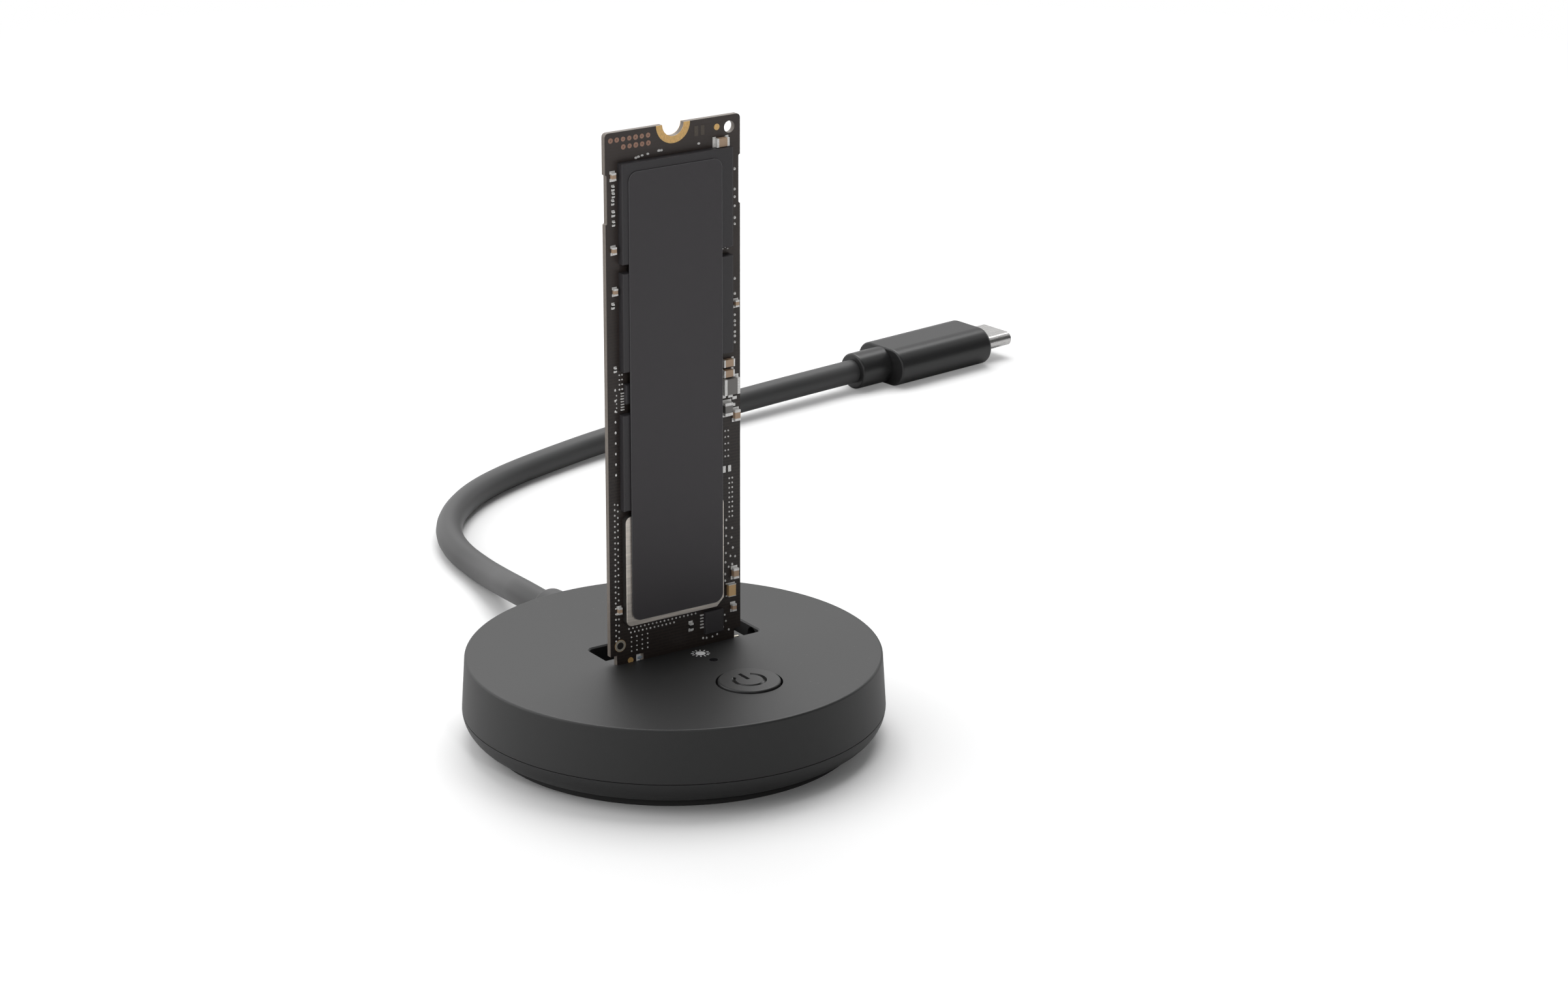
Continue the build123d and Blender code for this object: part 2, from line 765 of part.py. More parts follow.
with BuildPart() as usb_cable:
    with BuildLine() as cable_path:
        FilletPolyline(*cable_route, radius=cable_radii)
    with BuildSketch(Plane(origin=route[0], z_dir=route[1] - route[0])):
        Circle(cable_radius)
    cable_wire = cable_path.wires()[0]
    sweep(path=cable_wire)
cable_length = cable_wire.length
cable_section = pi * cable_radius**2
print("cable length", round(cable_length, 1), "volume", round(usb_cable.part.volume, 1),
      "section times length", round(cable_section * cable_length, 1))
usb_cable.part.label = "usb_cable"
export_step(usb_cable.part, "parts/usb_cable.step")

# Overmould of the plug: a flat body with round sides and a round collar where the cable enters
with BuildPart() as plug_overmould:
    with BuildSketch(plug_plane(plug_collar_length)):
        SlotOverall(plug_width, plug_thickness)
    extrude(amount=plug_length)
    body_ends = plug_overmould.faces().sort_by(Axis(plug_start, plug_direction))
    fillet(body_ends[-1].edges(), plug_fillet)
    fillet(body_ends[0].edges(), plug_rear_fillet)
    with BuildSketch(plug_plane(0)):
        Circle(plug_collar_radius)
    extrude(amount=plug_collar_length + plug_fillet)
    collar_end = plug_overmould.faces().sort_by(Axis(plug_start, plug_direction))[0]
    fillet(collar_end.edges(), plug_rear_fillet)
plug_overmould.part.label = "plug_overmould"
export_step(plug_overmould.part, "parts/plug_overmould.step")

# Metal shell of the plug
with BuildPart() as plug_shell:
    with BuildSketch(plug_plane(plug_shell_start)):
        SlotOverall(shell_width, shell_thickness)
        SlotOverall(shell_width - 2 * shell_wall, shell_thickness - 2 * shell_wall, mode=Mode.SUBTRACT)
    extrude(amount=shell_length)
plug_shell.part.label = "plug_shell"
export_step(plug_shell.part, "parts/plug_shell.step")

# Insulator inside the metal shell, with the bay for the socket's tongue
with BuildPart() as plug_insert:
    with BuildSketch(plug_plane(plug_shell_start)):
        SlotOverall(shell_width - 2 * shell_wall, shell_thickness - 2 * shell_wall)
    extrude(amount=shell_length - shell_wall)
    with BuildSketch(plug_plane(plug_shell_start + shell_length - shell_wall)):
        Rectangle(tongue_bay_width, tongue_bay_thickness)
    extrude(amount=-tongue_bay_depth, mode=Mode.SUBTRACT)
plug_insert.part.label = "plug_insert"
export_step(plug_insert.part, "parts/plug_insert.step")

# Contacts on both walls of the bay
with BuildPart() as plug_contacts:
    with BuildSketch(plug_plane(plug_shell_start + shell_length - shell_wall - tongue_bay_depth)):
        with GridLocations(contact_pitch, tongue_bay_thickness - contact_thickness, contact_count, 2):
            Rectangle(contact_width, contact_thickness)
    extrude(amount=contact_length)
plug_contacts.part.label = "plug_contacts"
export_step(plug_contacts.part, "parts/plug_contacts.step")

# Circuit board of the drive, with its tongue, key notch, half-round mounting notch and edge recesses
with BuildPart() as drive_board:
    with BuildSketch(card_face) as card_outline:
        with Locations((0, tongue_length)):
            Rectangle(card_width, card_length - tongue_length, align=from_foot)
        upper_corners = card_outline.vertices().group_by(Axis.Y)[-1]
        fillet(upper_corners, card_corner)
        Rectangle(tongue_width, tongue_length, align=from_foot)
        lower_corners = card_outline.vertices().group_by(Axis.Y)[0]
        chamfer(lower_corners, tongue_corner)
        with Locations((key_offset, 0)):
            Rectangle(key_width, key_depth, align=from_foot, mode=Mode.SUBTRACT)
        with Locations((0, card_length)):
            Circle(mount_notch_radius, mode=Mode.SUBTRACT)
        edges = laid_out((-card_width / 2, edge_recess_height), (card_width / 2, edge_recess_height))
        with Locations(edges):
            SlotOverall(edge_recess_length, 2 * edge_recess_depth, rotation=90, mode=Mode.SUBTRACT)
        with Locations(laid_out(top_hole_place)):
            Circle(top_hole_radius, mode=Mode.SUBTRACT)
        with Locations(laid_out(low_hole_place)):
            Circle(low_hole_radius, mode=Mode.SUBTRACT)
    extrude(amount=-card_thickness)
drive_board.part.label = "drive_board"
export_step(drive_board.part, "parts/drive_board.step")

# Gold contacts on both faces of the tongue
finger_centre = finger_setback + finger_length / 2
with BuildPart() as drive_contacts:
    with BuildSketch(card_face):
        with Locations([(x, finger_centre) for x in front_fingers]):
            Rectangle(finger_width, finger_length)
    extrude(amount=plating)
    with BuildSketch(card_rear):
        with Locations([(x, finger_centre) for x in back_fingers]):
            Rectangle(finger_width, finger_length)
    extrude(amount=-plating)
drive_contacts.part.label = "drive_contacts"
export_step(drive_contacts.part, "parts/drive_contacts.step")

# Gold ring round the mounting notch, on both faces
with BuildPart() as drive_mount_ring:
    with BuildSketch(card_face) as ring_outline:
        with Locations((0, card_length)):
            Circle(mount_notch_radius + mount_ring_width)
            Circle(mount_notch_radius, mode=Mode.SUBTRACT)
        with Locations((0, card_length)):
            above_card = mount_notch_radius + 2 * mount_ring_width
            Rectangle(card_width, above_card, align=from_foot, mode=Mode.SUBTRACT)
    extrude(amount=plating)
    extrude(ring_outline.sketch, amount=-card_thickness - plating)
    with BuildSketch(card_face):
        with Locations((0, card_length)):
            Circle(mount_notch_radius + 2 * mount_ring_width)
    extrude(amount=-card_thickness, mode=Mode.SUBTRACT)
drive_mount_ring.part.label = "drive_mount_ring"
export_step(drive_mount_ring.part, "parts/drive_mount_ring.step")

# Plated pads: two round marks and the ring of the lower hole
with BuildPart() as drive_pads:
    with BuildSketch(card_face):
        with Locations(*laid_out(fiducial_top), fiducial_low):
            Circle(fiducial_radius)
        with Locations(laid_out(low_hole_place)):
            Circle(low_hole_radius + low_ring_width)
            Circle(low_hole_radius, mode=Mode.SUBTRACT)
    extrude(amount=plating)
drive_pads.part.label = "drive_pads"
export_step(drive_pads.part, "parts/drive_pads.step")


def export_package(name, size, centre, height):
    """A rectangular chip package on the front face of the card."""
    with BuildPart() as package:
        with BuildSketch(card_face):
            with Locations(laid_out(centre)):
                Rectangle(size[0], size[1] * card_stretch)
        extrude(amount=height)
        chamfer(package.edges().group_by(Axis.Y)[0], package_chamfer)
    package.part.label = name
    export_step(package.part, f"parts/{name}.step")


# Chip packages of the card
export_package("drive_flash_upper", flash_size, flash_upper_centre, package_height)
export_package("drive_flash_lower", flash_size, flash_lower_centre, package_height)
export_package("drive_memory", memory_size, memory_centre, memory_height)
export_package("drive_power_converter", converter_size, converter_centre, converter_height)
export_package("drive_power_supply", supply_size, supply_centre, supply_height)
export_package("drive_coil", coil_size, coil_centre, coil_height)

# Controller and its heat-spreading lid, a shallow metal tray turned over the die
with BuildPart() as drive_controller:
    with BuildSketch(card_face):
        with Locations(laid_out(lid_centre)):
            Rectangle(controller_size, controller_size * card_stretch)
    extrude(amount=lid_height - lid_sheet)
drive_controller.part.label = "drive_controller"
export_step(drive_controller.part, "parts/drive_controller.step")

with BuildPart() as drive_lid:
    with BuildSketch(card_face):
        with Locations(laid_out(lid_centre)):
            RectangleRounded(lid_size, lid_size * card_stretch, lid_corner)
            with Locations((lid_size / 2, -lid_size * card_stretch / 2)):
                Rectangle(sqrt(2) * lid_cut_corner, sqrt(2) * lid_cut_corner, rotation=45, mode=Mode.SUBTRACT)
    extrude(amount=lid_height)
    with BuildSketch(card_face):
        with Locations(laid_out(lid_centre)):
            inner_length = lid_size * card_stretch - 2 * lid_rim
            RectangleRounded(lid_size - 2 * lid_rim, inner_length, lid_corner - lid_sheet)
    extrude(amount=lid_height - lid_sheet, mode=Mode.SUBTRACT)
    chamfer(drive_lid.faces().sort_by(Axis.Y)[0].edges(), package_chamfer)
drive_lid.part.label = "drive_lid"
export_step(drive_lid.part, "parts/drive_lid.step")

# Label over the packages
with BuildPart() as drive_label:
    with BuildSketch(card_face.offset(package_height)):
        with Locations(laid_out(label_centre)):
            RectangleRounded(label_size[0], label_size[1] * card_stretch, label_corner)
    extrude(amount=label_thickness)
drive_label.part.label = "drive_label"
export_step(drive_label.part, "parts/drive_label.step")

# Capacitors of the card
with BuildPart() as drive_capacitors:
    with BuildSketch(card_face):
        with Locations(laid_out(*wide_caps)):
            Rectangle(*wide_cap_size)
        with Locations(laid_out(*tall_caps)):
            Rectangle(*tall_cap_size)
        with Locations(laid_out(*small_caps)):
            Rectangle(*small_cap_size)
    extrude(amount=cap_height)
drive_capacitors.part.label = "drive_capacitors"
export_step(drive_capacitors.part, "parts/drive_capacitors.step")
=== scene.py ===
"""Looks of a round docking station that holds a bare drive card upright, with its short cable."""

from math import cos, pi, radians, sin

import bmesh
import bpy
from mathutils import Matrix, Vector


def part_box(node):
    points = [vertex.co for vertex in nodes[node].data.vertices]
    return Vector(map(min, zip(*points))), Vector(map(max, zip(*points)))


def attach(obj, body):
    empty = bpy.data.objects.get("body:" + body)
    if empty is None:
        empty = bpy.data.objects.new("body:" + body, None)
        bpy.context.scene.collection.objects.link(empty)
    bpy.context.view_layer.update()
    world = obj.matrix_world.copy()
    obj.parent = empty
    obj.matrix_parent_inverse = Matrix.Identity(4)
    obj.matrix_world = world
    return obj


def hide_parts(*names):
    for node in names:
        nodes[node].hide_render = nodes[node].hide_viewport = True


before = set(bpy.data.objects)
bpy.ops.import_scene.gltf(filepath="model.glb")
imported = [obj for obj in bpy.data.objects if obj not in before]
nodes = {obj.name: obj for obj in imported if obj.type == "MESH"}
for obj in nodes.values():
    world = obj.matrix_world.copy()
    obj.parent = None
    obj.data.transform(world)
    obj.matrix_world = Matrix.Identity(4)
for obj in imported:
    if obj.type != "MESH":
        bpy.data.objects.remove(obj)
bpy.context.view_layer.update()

MM = 0.001

# The photograph's viewpoint, aimed from the centre of the dock's top face
view_azimuth = radians(-34.12)
view_elevation = radians(19.06)
view_roll = radians(0.17)
view_distance = 571.13 * MM
aim_right = 15.69 * MM
aim_up = 23.82 * MM
focal_pixels = 6206.2
image_width_pixels = 2404
sensor_width = 36.0

# Cable
cable_diameter = 4.3 * MM
cable_bevel_steps = 8
cable_route = [
    (2.4, 39.0, 6.4),
    (2.4, 46.0, 6.4),
    (3.9, 53.0, 5.2),
    (6.0, 60.5, 3.6),
    (7.8, 69.0, 2.35),
    (9.1, 78.5, 2.15),
    (11.9, 86.8, 2.15),
    (17.2, 94.7, 2.15),
    (24.9, 101.7, 2.15),
    (34.6, 106.8, 2.15),
    (45.2, 110.3, 2.15),
    (56.1, 113.2, 2.3),
    (69.0, 114.9, 2.8),
    (81.0, 115.9, 3.15),
    (93.0, 117.2, 3.37),
    (104.07, 118.42, 3.45),
    (115.0, 119.7, 3.45),
]

# Where the card, the dock's top face, the button and the light guide lie, from the frame
card_low, card_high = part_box("drive_board")
card_centre_x = (card_low[0] + card_high[0]) / 2
card_front = card_low[1]
card_back = card_high[1]
card_foot = card_low[2]
card_height = card_high[2] - card_low[2]
dock_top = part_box("top_shell")[1][2]
button_low, button_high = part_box("power_button")
button_centre = (Vector(button_low) + Vector(button_high)) / 2
button_top = button_high[2]
light_low, light_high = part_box("light_guide")
light_centre = (Vector(light_low) + Vector(light_high)) / 2


def on_card(x, y, out=0.0):
    """A place on the card's front face: x from its centre line, y from its foot, in millimetres."""
    return Vector((card_centre_x + x * MM, card_front - out * MM, card_foot + y * MM))


def behind_card(x, y, out=0.0):
    """The same on the card's rear face."""
    return Vector((card_centre_x + x * MM, card_back + out * MM, card_foot + y * MM))


# Helpers for node trees


def add(tree, kind, inputs=(), **settings):
    """A node with its settings and the values of its named or numbered sockets."""
    node = tree.nodes.new(kind)
    for key, value in settings.items():
        setattr(node, key, value)
    for key, value in dict(inputs).items():
        if isinstance(value, bpy.types.NodeSocket):
            tree.links.new(value, node.inputs[key])
        else:
            node.inputs[key].default_value = value
    return node


def socket_name(label):
    """The name of a socket, from the name of a parameter."""
    return label.replace("_", " ").title().replace("Ior", "IOR")


def group_tree(name, kind, inputs, outputs):
    """An empty node group with named sockets, and its input and output nodes."""
    tree = bpy.data.node_groups.new(name, kind)
    for label, socket, value in inputs:
        made = tree.interface.new_socket(name=label, in_out="INPUT", socket_type=socket)
        if value is not None:
            made.default_value = value
    for label, socket in outputs:
        tree.interface.new_socket(name=label, in_out="OUTPUT", socket_type=socket)
    return tree, tree.nodes.new("NodeGroupInput").outputs, tree.nodes.new("NodeGroupOutput").inputs


def calculate(tree, operation, first, second=0.0):
    """The outcome of one calculation with two values."""
    return add(tree, "ShaderNodeMath", {0: first, 1: second}, operation=operation).outputs[0]


def multiply(tree, first, second):
    """The product of two values."""
    return calculate(tree, "MULTIPLY", first, second)


def blend_colours(tree, share, first, second, way="MIX"):
    """Two colours blended by a share."""
    mix = add(tree, "ShaderNodeMix", {0: share, 6: first, 7: second}, data_type="RGBA", blend_type=way)
    return mix.outputs[2]


def grey_colour(tree, value):
    """A grey of the given brightness."""
    return add(tree, "ShaderNodeCombineColor", {0: value, 1: value, 2: value}).outputs[0]


def object_place(tree):
    """Where a point of the surface lies on its object."""
    return add(tree, "ShaderNodeTexCoord").outputs["Object"]


def noise(tree, place, scale, detail):
    """Soft random patches between 0 and 1."""
    values = {"Vector": place, "Scale": scale, "Detail": detail}
    return add(tree, "ShaderNodeTexNoise", values).outputs["Fac"]


def carried(tree, value, low, high, at_low=0.0, at_high=1.0):
    """A value between low and high, carried into the range from at_low to at_high."""
    values = {"Value": value, "From Min": low, "From Max": high, "To Min": at_low, "To Max": at_high}
    return add(tree, "ShaderNodeMapRange", values).outputs["Result"]


def relief_normal(tree, strength, depth, height):
    """The surface's normal under a shallow relief."""
    values = {"Strength": strength, "Distance": depth, "Height": height}
    return add(tree, "ShaderNodeBump", values).outputs["Normal"]


def facing(tree, axis):
    """How far a surface looks along an axis of the scene."""
    normal = add(tree, "ShaderNodeNewGeometry").outputs["Normal"]
    return add(tree, "ShaderNodeSeparateXYZ", {0: normal}).outputs[axis]


def on_narrow_sides(tree, limit):
    """One on the narrow sides of a part of the card, nought on its broad front and back."""
    broad = calculate(tree, "ABSOLUTE", facing(tree, "Y"))
    return calculate(tree, "LESS_THAN", broad, limit)


# Effects that several materials share

surface_results = [
    ("Color", "NodeSocketColor"),
    ("Roughness", "NodeSocketFloat"),
    ("Normal", "NodeSocketVector"),
]


def make_moulded_grain():
    """A fine moulded or sprayed surface: speckled colour, uneven roughness and a shallow relief."""
    grain_depth = 0.02 * MM
    tree, given, result = group_tree(
        "moulded grain",
        "ShaderNodeTree",
        [
            ("Color", "NodeSocketColor", (0.1, 0.1, 0.1, 1)),
            ("Roughness", "NodeSocketFloat", 0.5),
            ("Grain Scale", "NodeSocketFloat", 9000.0),
            ("Mottle Scale", "NodeSocketFloat", 90.0),
            ("Relief", "NodeSocketFloat", 0.1),
            ("Unevenness", "NodeSocketFloat", 0.1),
        ],
        surface_results,
    )
    place = object_place(tree)
    grain = noise(tree, place, given["Grain Scale"], detail=2.0)
    mottle = noise(tree, place, given["Mottle Scale"], detail=5.0)
    centred = calculate(tree, "SUBTRACT", calculate(tree, "ADD", grain, mottle), 1.0)
    swing = multiply(tree, centred, given["Unevenness"])
    shade = calculate(tree, "ADD", swing, 1.0)
    tone = grey_colour(tree, shade)
    tree.links.new(blend_colours(tree, 1.0, given["Color"], tone, "MULTIPLY"), result["Color"])
    tree.links.new(multiply(tree, shade, given["Roughness"]), result["Roughness"])
    tree.links.new(relief_normal(tree, given["Relief"], grain_depth, grain), result["Normal"])
    return tree


def make_settled_dust():
    """A few pale specks, in patches, on faces that look up."""
    speck_core = 0.03
    speck_edge = 0.12
    patch_scale = 60.0
    patch_from = 0.45
    patch_full = 0.75
    tree, given, result = group_tree(
        "settled dust",
        "ShaderNodeTree",
        [
            ("Color", "NodeSocketColor", (0.1, 0.1, 0.1, 1)),
            ("Dust Color", "NodeSocketColor", (0.5, 0.49, 0.47, 1)),
            ("Amount", "NodeSocketFloat", 0.1),
            ("Speck Scale", "NodeSocketFloat", 600.0),
        ],
        [("Color", "NodeSocketColor")],
    )
    place = object_place(tree)
    specks = add(tree, "ShaderNodeTexVoronoi", {"Vector": place, "Scale": given["Speck Scale"]})
    near = carried(tree, specks.outputs["Distance"], speck_core, speck_edge, at_low=1.0, at_high=0.0)
    spread = carried(tree, noise(tree, place, patch_scale, detail=4.0), patch_from, patch_full)
    up = calculate(tree, "MAXIMUM", facing(tree, "Z"), 0.0)
    mask = multiply(tree, multiply(tree, multiply(tree, near, spread), up), given["Amount"])
    tree.links.new(blend_colours(tree, mask, given["Color"], given["Dust Color"]), result["Color"])
    return tree


def make_brushed_lines():
    """Fine parallel lines, as on drawn or rolled sheet metal."""
    line_depth = 0.01 * MM
    noise_low = 0.3
    noise_high = 0.7
    darkest = 0.82
    palest = 1.08
    tree, given, result = group_tree(
        "brushed lines",
        "ShaderNodeTree",
        [
            ("Color", "NodeSocketColor", (0.6, 0.6, 0.6, 1)),
            ("Roughness", "NodeSocketFloat", 0.3),
            ("Line Scale", "NodeSocketFloat", 4000.0),
            ("Stretch", "NodeSocketVector", (1.0, 1.0, 0.04)),
            ("Relief", "NodeSocketFloat", 0.1),
        ],
        surface_results,
    )
    place = object_place(tree)
    drawn = add(tree, "ShaderNodeVectorMath", {0: place, 1: given["Stretch"]}, operation="MULTIPLY")
    lines = noise(tree, drawn.outputs[0], given["Line Scale"], detail=3.0)
    tone = carried(tree, lines, noise_low, noise_high, darkest, palest)
    grey = grey_colour(tree, tone)
    tree.links.new(blend_colours(tree, 1.0, given["Color"], grey, "MULTIPLY"), result["Color"])
    tree.links.new(multiply(tree, tone, given["Roughness"]), result["Roughness"])
    tree.links.new(relief_normal(tree, given["Relief"], line_depth, lines), result["Normal"])
    return tree


moulded_grain = make_moulded_grain()
settled_dust = make_settled_dust()
brushed_lines = make_brushed_lines()


def start_material(name, **shader_values):
    """A material with a Principled shader; its plain values are set on the shader's own sockets."""
    material = bpy.data.materials.new(name)
    material.use_nodes = True
    shader = material.node_tree.nodes["Principled BSDF"]
    for label, value in shader_values.items():
        shader.inputs[socket_name(label)].default_value = value
    return material, material.node_tree, shader


def use_surface(tree, shader, group, **values):
    """Puts a surface effect into a material and joins it to the shader."""
    inputs = {socket_name(label): value for label, value in values.items()}
    effect = add(tree, "ShaderNodeGroup", inputs, node_tree=group)
    for label in ("Roughness", "Normal"):
        tree.links.new(effect.outputs[label], shader.inputs[label])
    tree.links.new(effect.outputs["Color"], shader.inputs["Base Color"])
    return effect


def dusted(tree, shader, effect, amount):
    """Lays a little dust over a surface effect's colour."""
    inputs = {"Color": effect.outputs["Color"], "Amount": amount}
    dust = add(tree, "ShaderNodeGroup", inputs, node_tree=settled_dust)
    tree.links.new(dust.outputs["Color"], shader.inputs["Base Color"])


def moulded(name, colour, roughness, grain_scale, relief, unevenness=0.08, dust=0.0, **shader_values):
    """A moulded plastic, rubber or film with a fine grain and, where it looks up, a little dust."""
    material, tree, shader = start_material(name, **shader_values)
    effect = use_surface(
        tree,
        shader,
        moulded_grain,
        color=(*colour, 1),
        roughness=roughness,
        grain_scale=grain_scale,
        relief=relief,
        unevenness=unevenness,
    )
    if dust:
        dusted(tree, shader, effect, dust)
    return material


def metal(name, colour, roughness, line_scale, stretch=(1.0, 1.0, 1.0), relief=0.15, metallic=1.0):
    """A metal with fine lines, drawn out along the axis whose stretch is less than one."""
    material, tree, shader = start_material(name, metallic=metallic)
    use_surface(
        tree,
        shader,
        brushed_lines,
        color=(*colour, 1),
        roughness=roughness,
        line_scale=line_scale,
        stretch=stretch,
        relief=relief,
    )
    return material


def make_laminate():
    """The card's board: black mask with faint tracks, with painted shade low down and painted sheen
    towards its top, and a glass-fibre edge.
    """
    # The low colours are painted shade and the high ones painted sheen; each dark and pale pair is random
    # patches.
    shaded_mask_dark = (0.019, 0.0145, 0.013, 1)
    shaded_mask_pale = (0.031, 0.0235, 0.021, 1)
    sheen_mask_dark = (0.050, 0.039, 0.036, 1)
    sheen_mask_pale = (0.072, 0.058, 0.053, 1)
    track_colour = (0.055, 0.042, 0.034, 1)
    track_strength = 0.35
    patch_scale = 180.0
    ply_scale = 2600.0
    fibre_dark = (0.135, 0.115, 0.098, 1)
    fibre_pale = (0.22, 0.188, 0.16, 1)
    painted_sheen_from = card_foot + 0.35 * card_height
    card_top = card_foot + card_height
    material, tree, shader = start_material("card laminate")
    place = object_place(tree)
    turned = add(tree, "ShaderNodeMapping", {"Vector": place, "Rotation": (pi / 2, 0, 0)}).outputs[0]
    tracks = add(
        tree,
        "ShaderNodeTexBrick",
        {
            "Vector": turned,
            "Color1": (0.32, 0.32, 0.32, 1),
            "Color2": (0.6, 0.6, 0.6, 1),
            "Mortar": (1, 1, 1, 1),
            "Scale": 260.0,
            "Mortar Size": 0.03,
            "Brick Width": 0.5,
            "Row Height": 0.12,
        },
        offset=0.37,
    )
    patches = noise(tree, place, patch_scale, detail=3.0)
    shaded_mask = blend_colours(tree, patches, shaded_mask_dark, shaded_mask_pale)
    sheen_mask = blend_colours(tree, patches, sheen_mask_dark, sheen_mask_pale)
    # Painted light: the mask is darker low down as painted shade and paler towards the top as painted
    # sheen.
    height = add(tree, "ShaderNodeSeparateXYZ", {0: place}).outputs["Z"]
    rise = carried(tree, height, painted_sheen_from, card_top)
    mask = blend_colours(tree, rise, shaded_mask, sheen_mask)
    track_share = multiply(tree, tracks.outputs["Fac"], track_strength)
    traced = blend_colours(tree, track_share, mask, track_colour)
    plies = noise(tree, place, ply_scale, detail=2.0)
    fibre = blend_colours(tree, plies, fibre_dark, fibre_pale)
    colour = blend_colours(tree, on_narrow_sides(tree, limit=0.5), traced, fibre)
    effect = use_surface(
        tree,
        shader,
        moulded_grain,
        color=colour,
        roughness=0.42,
        grain_scale=5000.0,
        relief=0.05,
    )
    dusted(tree, shader, effect, amount=0.2)
    return material


def make_lid():
    """The controller's lid: brushed nickel on its face, with painted shade on its bent sides."""
    face_colour = (0.90, 0.83, 0.755, 1)
    painted_shade_side_colour = (0.10, 0.095, 0.09, 1)
    material, tree, shader = start_material("nickel lid", metallic=0.6)
    use_surface(
        tree,
        shader,
        brushed_lines,
        # The bent sides' dark colour is painted shade on the same nickel.
        color=blend_colours(tree, on_narrow_sides(tree, limit=0.7), face_colour, painted_shade_side_colour),
        roughness=0.42,
        line_scale=3500.0,
        stretch=(0.05, 1.0, 1.0),
        relief=0.15,
    )
    return material


def make_label():
    """The dark film over the packages, very slightly mottled."""
    film_colour = (0.053, 0.0485, 0.0535)
    gloss = {"coat_weight": 0.1, "coat_roughness": 0.4}
    return moulded("label film", film_colour, 0.5, 12000.0, 0.06, 0.05, **gloss)


def make_light_guide():
    """Clear moulded plastic of the status light, dark because the light is off."""
    guide_colour = (0.006, 0.006, 0.007)
    return moulded("clear light guide", guide_colour, 0.2, 6000.0, 0.02, coat_weight=0.3, ior=1.49)


def make_shell_plastic():
    """The dock's matt black plastic, with a little dust."""
    plastic_colour = (0.021, 0.021, 0.0212)
    finish = {"dust": 0.1, "specular_ior_level": 0.45}
    return moulded("dock shell plastic", plastic_colour, 0.48, 7000.0, 0.2, 0.06, **finish)


# Materials: colour, roughness, scale of the grain or lines, then relief and unevenness, or the stretch

shell_plastic = make_shell_plastic()
button_plastic = moulded("button plastic", (0.025, 0.025, 0.0252), 0.46, 7000.0, 0.18, 0.06, dust=0.08)
# The groove's plastic is darker than the button's: painted shade in the engraved sign.
shaded_groove_plastic = moulded("groove of the button sign, painted shade", (0.015, 0.015, 0.015), 0.22, 5000.0, 0.1)
foot_rubber = moulded("foot rubber", (0.018, 0.018, 0.018), 0.75, 3000.0, 0.35, 0.1)
cable_rubber = moulded("cable rubber", (0.036, 0.036, 0.0365), 0.50, 3500.0, 0.15, 0.1, sheen_weight=0.1)
plug_plastic = moulded("plug plastic", (0.017, 0.017, 0.0173), 0.33, 4500.0, 0.14, 0.08)
package_resin = moulded("package resin", (0.047, 0.044, 0.0475), 0.48, 9000.0, 0.25, 0.12, dust=0.3)
connector_plastic = moulded("connector plastic", (0.016, 0.016, 0.016), 0.42, 6000.0, 0.08)
insert_plastic = moulded("plug insert plastic", (0.02, 0.02, 0.02), 0.45, 6000.0, 0.05)
conductor_jacket = moulded("conductor jacket", (0.20, 0.20, 0.20), 0.5, 5000.0, 0.05)
tan_ceramic = moulded("tan ceramic", (0.58, 0.41, 0.28), 0.45, 9000.0, 0.1, 0.15)
gold_ceramic = moulded("golden tan ceramic", (0.82, 0.54, 0.26), 0.45, 9000.0, 0.1, 0.15)
grey_ceramic = moulded("grey ceramic", (0.25, 0.24, 0.23), 0.5, 9000.0, 0.1, 0.15)
ferrite = moulded("ferrite", (0.12, 0.12, 0.12), 0.6, 7000.0, 0.3, 0.2)
board_mask = moulded("main board mask", (0.015, 0.06, 0.03), 0.4, 3000.0, 0.05)
# The small resistors' own dark bodies, and painted shade in the holes of the round pads.
dark_body_and_hole_shade = moulded("dark body and painted hole shade", (0.012, 0.01, 0.009), 0.7, 5000.0, 0.05)
film_edge = moulded("cut edge of the film", (0.11, 0.11, 0.115), 0.4, 5000.0, 0.05)
sign_ink = moulded("sign ink", (0.88, 0.88, 0.88), 0.6, 9000.0, 0.05, 0.15)
card_laminate = make_laminate()
label_film = make_label()
light_guide = make_light_guide()
gold = metal("gold plating", (0.98, 0.62, 0.24), 0.36, 5000.0, (1.0, 1.0, 0.5), metallic=0.3)
copper = metal("bare copper pad", (0.46, 0.27, 0.20), 0.4, 6000.0, metallic=0.35)
tin = metal("tinned solder", (0.97, 0.96, 0.94), 0.25, 5000.0, relief=0.2, metallic=0.2)
lid_metal = make_lid()
steel = metal("drawn steel", (0.62, 0.61, 0.60), 0.3, 4000.0, (0.04, 1.0, 1.0))
dull_copper = metal("dull masked copper", (0.13, 0.11, 0.09), 0.5, 6000.0, relief=0.4, metallic=0.3)
pale_metal = metal("pale plated metal", (0.66, 0.61, 0.51), 0.35, 5000.0, metallic=0.4)
# Used only for the painted highlight in the card's key notch.
notch_highlight_steel = metal("bluish steel", (0.42, 0.49, 0.57), 0.35, 5000.0, metallic=0.15)
dark_steel = metal("blackened screw steel", (0.16, 0.16, 0.165), 0.4, 4000.0, (1.0, 1.0, 0.05))


# Materials of the modelled nodes; the nodes not named here are the screws, and those replaced below

